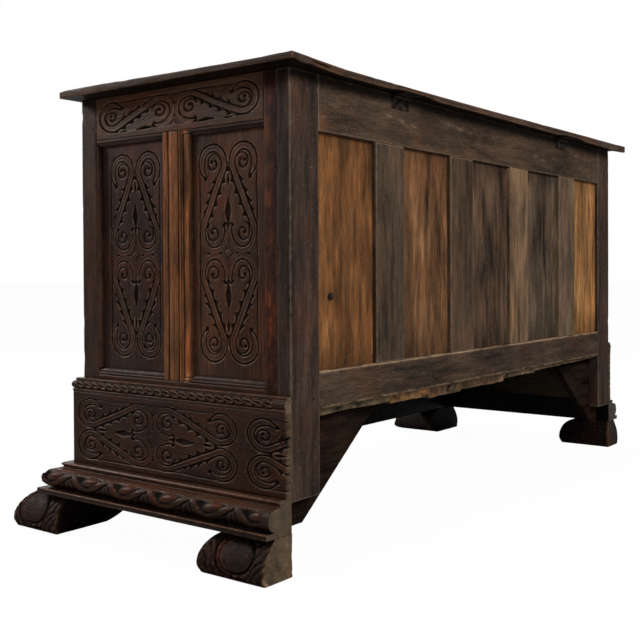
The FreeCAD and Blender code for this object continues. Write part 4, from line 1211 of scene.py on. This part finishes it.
def running_hearts(start, broken):
    """Hearts along a board: the distance from the first clasp is folded back and forth between clasps, and
    the height from the axis is the way across. Below the field the wood is plain, and the chip is as deep as
    given."""
    def cut(u, v):
        travel = np.abs(u - start) % (2 * clasp_period)
        along = clasp_period - np.abs(clasp_period - travel)
        across = np.abs(v - heart_axis) * scroll_wide / heart_half_wide
        return scroll(across, along * scroll_long / (clasp_period - clasp_gap)) - broken * chipped(u, v)
    return cut


plinth_sides = [("right", clasp_place, chip_deep, (1, 0), bare_end), ("left", -clasp_place, 0.0, (0, 1), bare_end),
                ("front", 0.0, 0.0, (1, 1), None)]
for side, start, broken, mitres, tint in plinth_sides:
    name = "plinth_board_" + side
    face = (*facing(side, *corners(name))[:3], plinth_reach)
    part = carved_board(side, face, plinth_pitch[side], running_hearts(start, broken), plinth_brown, 210,
                        upright=False, mitres=mitres, coloured=tint, behind_shade=hidden_shade)
    put("carved_" + name, part, plinth_walnut, "carved_walnut", [name])

# The cap and the base of the plinth. Two mouldings run round the front and both ends. The cap carries a
# band of overlapping crescents with dark slots; the base is a torus bound with leaves, eggs and ribbons.
cap_brown = (59, 39, 27)
base_brown = (60, 38, 26)
moulding_walnut = walnut("moulding_walnut", (126, 84, 58), streaks=0.24, dirt=1.0, gloss=0.4, wear=0.75)
cap_outline = [(0, 310), (16, 310), (17, 311), (17, 316), (15.6, 317)]
cap_band = (12.0, 325.0, 6.2, 8.6)
cap_lip = [(12, 333.6), (12, 338.8), (11, 340), (0, 340)]
base_lip = [(0, 84), (73, 84), (74, 85.5), (74, 93.5), (73, 95), (50, 95)]
base_torus = (46.5, 116.5, 21.3)
base_ledge = [(33, 138), (33, 143), (36.2, 144.4), (36.4, 147.6), (33.4, 149.4), (33, 150), (0, 150)]
post_face, end_face, back_face = 237.5 * mm, 820 * mm, 362.5 * mm
band_ends = (-240.5 * mm, 329.5 * mm)
base_pitch_share = 1.3
sharp_turn, sharp_worn = 0.93, 0.8
left_end_shade = 0.55
moulding_floor = 0.8
crescent_pitch, crescent_lean = 25 * mm, 5 * mm
arc_centre, arc_half, arc_wide = (0.36, 0.08), (0.5, 0.72), 0.2
slot_centre, slot_half, slot_reach, slot_slant = (0.42, 0.12), (0.56, 0.55), 0.66, 0.9
edge_away, edge_wide = 1.45, 0.16
band_sunk, slot_deep, arc_high, edge_deep, tail_deep = 1.5 * mm, 5.2 * mm, 1.9 * mm, 1.3 * mm, 0.8 * mm
# Painted light and shade on the carving: highlights on the cap's arcs and the torus's upper part, shade in the
# slots, pits and veins and below the torus.
arc_highlight, slot_shade, edge_shade = 0.6, 0.95, 0.4
egg_places = (-159.5 * mm, 120 * mm)
egg_centre = (17 * mm, 10 * mm)
egg_half = (25 * mm, 12 * mm)
egg_red = (1.55, 1.1, 0.95)
loop_front, loop_back = 46 * mm, 74 * mm
loop_low, loop_rise = -16 * mm, 42 * mm
ahead_power, behind_power = 1.6, 1.3
ribbon_half, ribbon_level = 6 * mm, 0.2 * mm
ribbon_line_off, ribbon_line_half, ribbon_line_deep = 2.6 * mm, 1.0 * mm, 1.5 * mm
crevice_off, crevice_half, crevice_deep = 2.4 * mm, 2.2 * mm, 3.6 * mm
gouge_place, gouge_half, gouge_deep = (-17 * mm, 8 * mm), (9 * mm, 13 * mm), 5.0 * mm
egg_slant, egg_point, egg_high, egg_ground = 0.2, 0.55, 6.4 * mm, 4.6 * mm
leaf_ground, leaf_vein_deep, leaf_fall = 1.6 * mm, 1.7 * mm, 1.2 * mm
vein_turn, vein_root = math.radians(17), 14 * mm
plain_beyond = 505 * mm
pit_shade, vein_shade, upper_torus_highlight, ribbon_light, under_torus_shade = 0.9, 0.35, 0.5, 0.25, 0.55


def arc(centre_p, centre_q, half_p, half_q, start, end, count):
    """Points of an ellipse between two angles in degrees."""
    angles = np.radians(np.linspace(start, end, count))
    return [(centre_p + half_p * math.cos(a), centre_q + half_q * math.sin(a)) for a in angles]


def dense(outline, pitch):
    """A closed outline with points added so that no gap is longer than the pitch, and its outward directions.
    The flat faces that reach the chest's wall are plain and hidden, so they keep points at their edges only."""
    corner = np.array(outline, float) * mm
    following = np.roll(corner, -1, 0)
    points = []
    for here, there in zip(corner, following):
        shares = np.linspace(0, 1, max(1, int(np.linalg.norm(there - here) / pitch)), endpoint=False)
        if min(here[0], there[0]) == 0:
            shares = shares[[0, 1, -1]]
        points.append(here + (there - here) * shares[:, None])
    points = np.concatenate(points)
    travel = np.roll(points, -1, 0) - np.roll(points, 1, 0)
    travel /= np.linalg.norm(travel, axis=1, keepdims=True)
    return points, np.stack([travel[:, 1], -travel[:, 0]], 1)


def moulding(side, ends, mitres, outline, pitch, cut, colour, seed, spread=3 * mm):
    """A carved moulding: its outline stands at stations along a face of the chest. Within one reach of an end
    the stations spread to meet a mitre. Each point is then set in or out by the carving."""
    along, out = (np.array(way, float) for way in turns[side])
    ring, outward = dense(outline, spread)
    reach = ring[:, 0].max()
    middle = np.arange(ends[0] + reach, ends[1] - reach, pitch)
    share = np.linspace(1, 0, int(2 * reach / pitch) + 2)[:, None]
    first = (ends[0] + reach) * (1 - share) + (ends[0] - mitres[0] * ring[:, 0]) * share
    last = (ends[1] - reach) * (1 - share) + (ends[1] + mitres[1] * ring[:, 0]) * share
    runs = np.concatenate([first[:-1], np.repeat(middle[:, None], len(ring), 1), last[::-1][1:]])
    if mitres[0] == 0:
        runs[0] = ends[0]
    depth, tint = cut(runs, ring[None, :, 0], ring[None, :, 1])
    face = post_face if side == "front" else end_face
    spot = np.stack([runs, np.broadcast_to(ring[:, 0], runs.shape), np.broadcast_to(ring[:, 1], runs.shape)], -1)
    depth = depth + tool_deep * noise(spot, 60 * mm, seed) * (ring[:, 0] > 2 * mm)
    reached = face + ring[None, :, 0] + outward[None, :, 0] * depth
    high = ring[None, :, 1] + outward[None, :, 1] * depth
    points = runs[..., None] * along + reached[..., None] * out + high[..., None] * (0, 0, 1.0)
    worn, hollow = relief_marks(depth, (pitch + spread) / 2, moulding_floor)
    arris = np.abs(np.sum(outward * np.roll(outward, 1, 0), 1)) < sharp_turn
    worn = np.maximum(worn, sharp_worn * (arris | np.roll(arris, -1))[None, :])
    worn[:, ring[:, 0] == 0] = 0
    tone = stain(*colour) * tint * np.ones(points.shape)
    # The faces against the chest's wall carry painted shade.
    tone[:, ring[:, 0] == 0] *= hidden_shade
    # An unmitred end shows pale end grain; at the left end it is darker as painted shade.
    for end, mitre in ((0, mitres[0]), (-1, mitres[1])):
        if mitre == 0:
            tone[end] = stain(*end_grain_tan) * (1 if side == "right" else left_end_shade)
            worn[end] = 0
    mirrored = np.cross(along, out)[2] < 0
    return ring_body(points, worn, hollow, spot + own_place(seed), tone, mirrored)


def crescents(start, stop, way):
    """The band of the cap: a running wave of crescents. Each is an arc that starts low, sweeps back and curls up
    over a dark slot; the wood between two arcs slopes down to the next. The arcs' rims carry a painted highlight,
    and the slots and the edges beyond the arcs painted shade."""
    def cut(u, reach, z):
        high = (z - cap_band[1] * mm) / (cap_band[3] * mm)
        band = (np.abs(high) < 1.02) & (reach > 11.8 * mm)
        y = (u - start) * way
        share = ((y + crescent_lean * high) / crescent_pitch) % 1
        across, above = share - arc_centre[0], high - arc_centre[1]
        round_arc = np.hypot(across / arc_half[0], above / arc_half[1])
        angle = np.arctan2(above, across)
        held = step(angle, -2.2, -1.7) * step(angle, 1.5, 1.0)
        rim = ridge(round_arc - 1, arc_wide) * held
        in_slot = share - slot_centre[0]
        slanted = high - slot_centre[1] + slot_slant * in_slot
        slot = step(slot_reach - np.hypot(in_slot / slot_half[0], slanted / slot_half[1]), -0.02, 0.1)
        edge = ridge(round_arc - edge_away, edge_wide) * held
        carved = -band_sunk - slot_deep * slot + arc_high * rim - edge_deep * edge
        carved = carved - tail_deep * step(share, 0.5, 1.0)
        shade = 1 + (arc_highlight * rim - slot_shade * slot - edge_shade * edge) * band
        inside = step(y, 0, 2 * mm) * step((stop - start) * way - y, 0, 2 * mm)
        return carved * band * inside, (1 + (shade - 1) * inside)[..., None]
    return cut


def waves(share, power):
    """Rounded bumps, one to each whole step of a share, made narrower by a power."""
    return (0.5 - 0.5 * np.cos(2 * math.pi * share)) ** power


def bound_torus(start, way, side_end):
    """The torus of the base: a ribbon hangs in loops, steep in front and slow behind. A pointed egg lies in each
    loop behind a deep gouge, and leaf veins with a dark hollow fill the space under the ribbon. The gouges,
    cracks, crevices and veins carry painted shade, the upper part of the torus a painted highlight, and the wood
    below the torus painted shade."""
    def cut(u, reach, z):
        round_torus = np.hypot(reach - base_torus[0] * mm, z - base_torus[1] * mm)
        on_torus = (np.abs(round_torus - base_torus[2] * mm) < 1.6 * mm) & (reach > 40 * mm)
        height = base_torus[2] * mm * np.arctan2(z - base_torus[1] * mm, reach - base_torus[0] * mm)
        y = (u - start) * way
        along = (y + loop_front) % egg_places[1] - loop_front
        ahead, behind = np.clip(-along, 0, None) / loop_front, np.clip(along, 0, None) / loop_back
        loop = loop_low + loop_rise * (ahead**ahead_power + behind**behind_power)
        rising = behind_power * behind ** (behind_power - 1) / loop_back * (along > 0)
        falling = ahead_power * ahead ** (ahead_power - 1) / loop_front * (along < 0)
        away = (height - loop) / np.sqrt(1 + (loop_rise * (rising - falling)) ** 2)
        ribbon = step(ribbon_half - np.abs(away), -0.9 * mm, 0.9 * mm)
        lines = ridge(np.abs(away) - ribbon_line_off, ribbon_line_half)
        crevice = ridge(away + (ribbon_half + crevice_off), crevice_half) * step(along, 18 * mm, 34 * mm)
        ahead_of = along - egg_centre[0]
        lying, standing = ahead_of / egg_half[0], (height - egg_centre[1] - egg_slant * ahead_of) / egg_half[1]
        pointed = np.hypot(lying, standing * (1 + egg_point * np.clip(lying, 0, 1) ** 2))
        egg = np.sqrt(np.clip(1 - pointed**2, 0, 1))
        off_egg = 1 - step(egg, 0.1, 0.3)
        gouge = ridge(along - gouge_place[0], gouge_half[0]) * ridge(height - gouge_place[1], gouge_half[1])
        crack = ridge(pointed - 1.12, 0.2) * step(standing, 0.1, -0.4)
        under = step(away, 0, -2 * mm)
        across = (along + loop_front + egg_places[1] / 2) % egg_places[1] - egg_places[1] / 2
        below = loop_low + loop_rise - height
        veins = waves(np.arctan2(across, below + vein_root) / vein_turn, 2) * step(below, 4 * mm, 12 * mm)
        ground = -egg_ground + egg_high * egg - gouge_deep * gouge * off_egg
        ground = ground * (1 - 0.7 * step(height, 15 * mm, 24 * mm) * off_egg)
        leafy = -leaf_ground - leaf_vein_deep * veins - crevice_deep * crevice
        leafy = leafy - leaf_fall * step(below, 22 * mm, 46 * mm)
        carved = ground * (1 - under) + leafy * under
        carved = carved * (1 - ribbon) + (-ribbon_level - ribbon_line_deep * lines) * ribbon
        inside = step(plain_beyond - y, 0, 8 * mm) if side_end else 1
        redden = step(egg, 0.15, 0.45) * (1 - under)
        pit = np.maximum(1.3 * gouge * off_egg * (1 - under), 1.2 * crevice * under)
        pit = np.clip(np.maximum(pit, 1.2 * crack * (1 - under)), 0, 1) * (1 - ribbon)
        light = 1 - vein_shade * veins * under + upper_torus_highlight * step(below, 16 * mm, 0) + ribbon_light * ribbon
        shade = (1 - pit_shade * pit) * light
        tint = 1 + (np.array(egg_red) - 1) * redden[..., None]
        tint = 1 + (tint * shade[..., None] - 1) * (on_torus * inside)[..., None]
        below_torus = step(z, 103 * mm, 97 * mm)
        return carved * on_torus * inside, tint * (1 - under_torus_shade * below_torus)[..., None]
    return cut


cap_ring = cap_outline + arc(12.4, 325.3, 6.8, 8.3, -80, 85, 18) + cap_lip
base_ring = base_lip + arc(*base_torus[:2], base_torus[2], base_torus[2], -80, 88, 30) + base_ledge
plinth_runs = [("right", 1, (-post_face, back_face), (1, 0)), ("left", -1, (-back_face, post_face), (0, 1)),
               ("front", 1, (-end_face, end_face), (1, 1))]
for number, (side, way, ends, mitres) in enumerate(plinth_runs):
    fine = plinth_pitch[side]
    at_end = side != "front"
    start, stop = (band_ends[0] * way, band_ends[1] * way) if at_end else ends
    eggs = egg_places[0] * way if at_end else 0.0
    cap = moulding(side, ends, mitres, cap_ring, fine, crescents(start, stop, way), cap_brown, 220 + number,
                   spread=1.6 * mm)
    put("carved_plinth_cap_" + side, cap, moulding_walnut, "carved_walnut", ["plinth_cap_" + side])
    base = moulding(side, ends, mitres, base_ring, fine * base_pitch_share, bound_torus(eggs, way, at_end),
                    base_brown, 225 + number, spread=2.2 * mm)
    put("carved_plinth_base_" + side, base, moulding_walnut, "carved_walnut", ["plinth_base_" + side])

# The feet. Four carved blocks: each bulges outwards from the plinth, curls under at the floor and ends
# in a rounded nose, which has worn back. A disc in crescent rims fills the outer face, with lobes on one side
# and leaf lines on the other.
foot_brown = (52, 37, 29)
foot_back_browns_left_shaded = {1: (96, 80, 62), -1: (52, 40, 32)}
foot_walnut = walnut("foot_walnut", (104, 76, 56), streaks=0.3, dirt=1.0, gloss=0.56, dust=0.4,
                     specular=0.1)
foot_top = 84 * mm
foot_nose = (70 * mm, 18 * mm, 10 * mm)
inner_nose_sizes = (70 * mm, 22 * mm, 56 * mm)
side_reaches = [(0, 77), (3, 80.6), (5.5, 82.85), (12, 85.2), (22, 86), (36, 83.2), (53, 74.6), (70, 60), (84, 48)]
low_rings = (0, 0.5 * mm, 1.6 * mm)
first_ring = 3.2 * mm
back_nose_worn, front_nose_worn = 7 * mm, 12 * mm
back_disc, front_disc, nose_disc = (112 * mm, 47 * mm), (92 * mm, 48 * mm), (112 * mm, 48 * mm)
disc_shift = 6 * mm
foot_pitch = {"right": 1.6 * mm, "left": 2.4 * mm}
foot_radius = 5 * mm
foot_round = 2 * mm
foot_chip, foot_chip_least = 2.5 * mm, 0.3
foot_wave_high, foot_wave_long = 0.6 * mm, 40 * mm
foot_arris_worn = 0.9
foot_hidden_shade, seam_dark = 0.75, 0.65
disc_radius = 30 * mm
disc_stretch = 1.28
disc_ring_off, disc_ring_half, second_off, second_half = 1.5 * mm, 2.6 * mm, 13 * mm, 2.3 * mm
dome_high, ring_deep, second_deep, nose_vein_deep = 2.4 * mm, 5.4 * mm, 4.6 * mm, 2.6 * mm
leaf_line_deep, foot_gouge_deep, foot_sunk, lip_high = 2.8 * mm, 4.5 * mm, 1.4 * mm, 1.8 * mm
nose_vein_wide, leaf_line_wide = 15 * mm, 17 * mm
foot_drift, foot_rough = 5 * mm, 0.9 * mm
ring_shade, foot_gouge_shade, lip_highlight, dome_dark, foot_top_shade = 0.7, 0.5, 1.6, 0.3, 0.75
foot_red = (1.7, 1.05, 0.8)
foot_worn_tan = (168, 142, 108)


def nosed(z, nose=foot_nose):
    """How far a nose stands back from its tip at each height: an ellipse above, a short curl under it."""
    long, high, heel = nose
    above = long * (1 - np.sqrt(np.clip(1 - ((z - high) / (foot_top - high)) ** 2, 0, 1)))
    below = heel * np.clip(1 - z / high, 0, 1) ** 2
    return np.where(z > high, above, below)


def foot_carving(start, disc):
    """A domed disc in a sunk ring, a crescent rim below and before it, upright veins on the nose, slanting leaf
    veins behind it and a gouge above. The disc is placed from the start of the face. The sunk ring and the gouge
    carry painted shade, the lip a painted highlight, and the top of the face painted shade under the base."""
    def cut(y, z):
        across, rise = y - start - disc[0] + disc_shift, z - disc[1]
        far = np.hypot(across / disc_stretch, rise)
        angle = np.arctan2(rise, across)
        rimmed = step(np.cos(angle - math.radians(215)), -0.1, 0.35)
        dome = np.sqrt(np.clip(1 - (far / disc_radius) ** 2, 0, 1))
        seen = 0.35 + 0.65 * step(np.cos(angle - math.radians(-20)), -0.5, 0.4)
        ring = ridge(far - disc_radius - disc_ring_off, disc_ring_half) * seen
        second = ridge(far - disc_radius - second_off, second_half) * rimmed
        before = step(across, -disc_radius - 12 * mm, -disc_radius - 17 * mm)
        spot = np.stack([across, rise, 0 * across], -1)
        drift = foot_drift * noise(spot, 16 * mm, 251)
        veins = waves((across + 0.4 * rise + drift) / nose_vein_wide, 3) * before
        leaf = waves((across - 0.9 * rise + drift) / leaf_line_wide, 3) * step(across - rise, 8 * mm, 20 * mm)
        leaf = leaf * step(far, disc_radius + 3 * mm, disc_radius + 6 * mm)
        above = ridge(across + 14 * mm, 11 * mm) * ridge(rise - 33 * mm, 5 * mm)
        lip = ridge(far - disc_radius + 1.2 * mm, 1.6 * mm) * step(across, -6 * mm, -20 * mm)
        rough = foot_rough * noise(spot, 8 * mm, 252) * (1 - step(dome, 0.05, 0.2))
        depth = dome_high * dome - ring_deep * ring - second_deep * second - nose_vein_deep * veins
        depth = depth - leaf_line_deep * leaf - foot_gouge_deep * above - foot_sunk + rough + lip_high * lip
        red = ridge(far - disc_radius - 8 * mm, 7 * mm) * rimmed
        shade = 1 - ring_shade * ring - foot_gouge_shade * above + lip_highlight * lip - dome_dark * step(dome, 0, 0.5)
        shade = shade * (1 - foot_top_shade * step(rise, 16 * mm, 32 * mm))
        return depth, shade[..., None] * (1 + red[..., None] * (np.array(foot_red) - 1))
    return cut


def foot(x_side, y_low, y_high, x_inner, cut, front_cut, pitch, seed, inner_nose):
    """A foot: at each height its plan is a rounded rectangle between the flat faces and the bulging ones. The
    carving sets in the points of the outer face and of the nose face along their directions. The faces turned
    inwards, and the back faces of the front feet, carry painted shade. A foot without an inner nose stands at the
    back and shows its plain back face, which is pale and worn at its outer corner on the right, and painted dark
    as shade on the left."""
    heights = np.concatenate([low_rings, np.arange(first_ring, foot_top - foot_round, pitch), [foot_top]])
    profile = np.array(side_reaches) * mm
    outer = end_face + np.interp(heights, profile[:, 0], profile[:, 1])
    outer = np.convolve(np.pad(outer, 2, mode="edge"), np.full(5, 0.2), mode="valid")
    front = y_low + nosed(heights)
    inner = x_inner + (nosed(heights, inner_nose_sizes) if inner_nose else 0 * heights)
    half = ((outer.max() - x_inner) / 2, (y_high - y_low) / 2)
    ring, outward, near = rounded_outline(half[0], half[1], foot_radius, pitch)
    a, b = (ring[:, 0] / half[0] + 1) / 2, (ring[:, 1] / half[1] + 1) / 2
    x = inner[:, None] + (outer - inner)[:, None] * a
    y = front[:, None] + (y_high - front)[:, None] * b
    z = np.broadcast_to(heights[:, None], x.shape)
    to_end = np.minimum(heights, foot_top - heights)[:, None]
    (side_depth, side_tint), (nose_depth, nose_tint) = cut(y, z), front_cut(x, z)
    on_side, on_nose = np.clip(outward[:, 0], 0, 1), np.clip(-outward[:, 1], 0, 1)
    depth = (side_depth * on_side + nose_depth * on_nose) * step(to_end, 1 * mm, 5 * mm)
    spot = np.stack([x, y, z], -1)
    chip = np.clip(noise(spot, bite_size, seed) - foot_chip_least, 0, 1) * near * foot_chip
    depth = depth + foot_wave_high * noise(spot, foot_wave_long, seed + 1) - chip
    push = depth - rounded_over(to_end, foot_round)
    points = spot + np.stack([outward[:, 0] * push, outward[:, 1] * push, 0 * push], -1)
    worn, hollow = relief_marks(depth, pitch)
    worn = np.maximum(worn, near * foot_arris_worn)
    tinted = (1 + (side_tint - 1) * on_side[:, None]) * (1 + (nose_tint - 1) * on_nose[:, None])
    tone = stain(*foot_brown) * tinted
    hidden = np.maximum(-outward[:, 0], outward[:, 1] * inner_nose)
    tone = tone * (1 - foot_hidden_shade * step(hidden, 0.3, 0.9))[:, None]
    if not inner_nose:
        tone[:, outward[:, 1] > 0.7] = stain(*foot_back_browns_left_shaded[x_side])
        corner = np.hypot((x - outer[:, None]) / (16 * mm), z / (13 * mm)) * (1 + 0.3 * noise(spot, 8 * mm, 253))
        share = step(corner, 1.2, 0.7)[..., None] * (outward[:, 1] > 0.6)[:, None]
        tone = tone + (stain(*foot_worn_tan) - tone) * share * (x_side > 0)
        worn = worn * (1 - share[..., 0])
    tone = tone * (1 - seam_dark * step(heights, foot_top - 3 * mm, foot_top - 1 * mm))[:, None, None]
    points[..., 0] *= x_side
    return ring_body(points, worn, hollow, spot[..., [1, 0, 2]] + own_place(seed), tone, mirrored=x_side < 0)


def uncarved(u, z):
    """A plain face."""
    return 0 * (u + z), np.ones(3)


feet = [("back", back_nose_worn, back_disc, None, 240), ("front", front_nose_worn, front_disc, nose_disc, 245)]
for side, x_side in (("right", 1), ("left", -1)):
    for place, nose_worn, side_disc, inner_disc, seed in feet:
        low, high = corners("foot_" + place + "_" + side)
        inner_face = min(abs(low[0]), abs(high[0]))
        carving = foot_carving(low[1], side_disc)
        nose_carving = foot_carving(inner_face, inner_disc) if inner_disc else uncarved
        part = foot(x_side, low[1] + nose_worn, high[1], inner_face, carving, nose_carving, foot_pitch[side], seed,
                    inner_nose=place == "front")
        put("carved_" + place + "_foot_" + side, part, foot_walnut, "foot_walnut", ["foot_" + place + "_" + side])

# What stays as the CAD made it: the strips round the front panels, the brackets in the back corners, the
# pegs of the joints, and the hinges with their pins and nails. Only the lid's six nails are made again, with
# shorter shanks, because the lid is thinner along its back edge.
# The brackets take one dark colour, which is painted shade.
shaded_bracket_timber = walnut("shaded_bracket_timber", (120, 100, 80), plain=(34, 25, 19), streaks=0.6, dust=0.15, gloss=0.85,
                         specular=0.04)
strip_walnut = walnut("strip_walnut", (150, 100, 66), plain=strip_brown, gloss=0.42)
peg_timber = walnut("peg_timber", (120, 100, 80), plain=(52, 40, 33), gloss=0.55)
iron_grey = (34, 31, 29)
rust_brown = (48, 32, 24)
nail_profile = [(-0.6, 0.8), (-0.4, 2.4), (0, 3.4), (1.5, 1.6), (8.5, 1.6), (9.2, 0.8)]
nail_shares = (-0.36, 0.0, 0.36)
nail_spread = 66 * mm


def iron(name):
    """Forged iron: grey metal under patches of brown rust, rough and pitted where it has rusted."""
    material, tree, output = new_material(name)
    place = node(tree, "ShaderNodeTexCoord").outputs["Object"]
    rust = ranged(tree, cloud(tree, place, 60.0, 5.0), 0.42, 0.58, 0.0, 1.0)
    pits = cloud(tree, place, 420.0, 3.0)
    colour = mixed(tree, rust, (*stain(*iron_grey), 1.0), (*stain(*rust_brown), 1.0))
    height = node(tree, "ShaderNodeBump", None, {"Strength": 0.5, "Distance": 0.4 * mm, "Height": pits})
    surface = node(tree, "ShaderNodeBsdfPrincipled", None, {
        "Base Color": colour, "Metallic": ranged(tree, rust, 0.0, 1.0, 0.9, 0.1),
        "Roughness": ranged(tree, rust, 0.0, 1.0, 0.45, 0.85), "Normal": height.outputs[0]})
    tree.links.new(surface.outputs[0], output.inputs["Surface"])
    return material


hinge_metal = iron("hinge_metal")


def nail(place):
    """A forged nail: a low domed head, and a shank shorter than the CAD's, turned about its upright axis."""
    heights, radii = np.array(nail_profile).T * mm
    return turned(place, (0, 0, 1), (0, 1, 0), heights, radii, 12, iron_grey)


low, high = corners("hinge_nails_lid")
nails = [nail((way * lid_hinge_places + nail_spread * share, (low[1] + high[1]) / 2, low[2]))
         for way in (1, -1) for share in nail_shares]
put("short_lid_nails", joined(nails), hinge_metal, "hinge_iron", ["hinge_nails_lid"], body="lid")
cad_finishes = {"front_panel_strips": strip_walnut, "corner_brackets": shaded_bracket_timber, "frame_pegs": peg_timber}
for name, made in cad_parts.items():
    if name.startswith("hinge"):
        cad_finishes[name] = hinge_metal
    if name in cad_finishes:
        made.data.materials.clear()
        made.data.materials.append(cad_finishes[name])
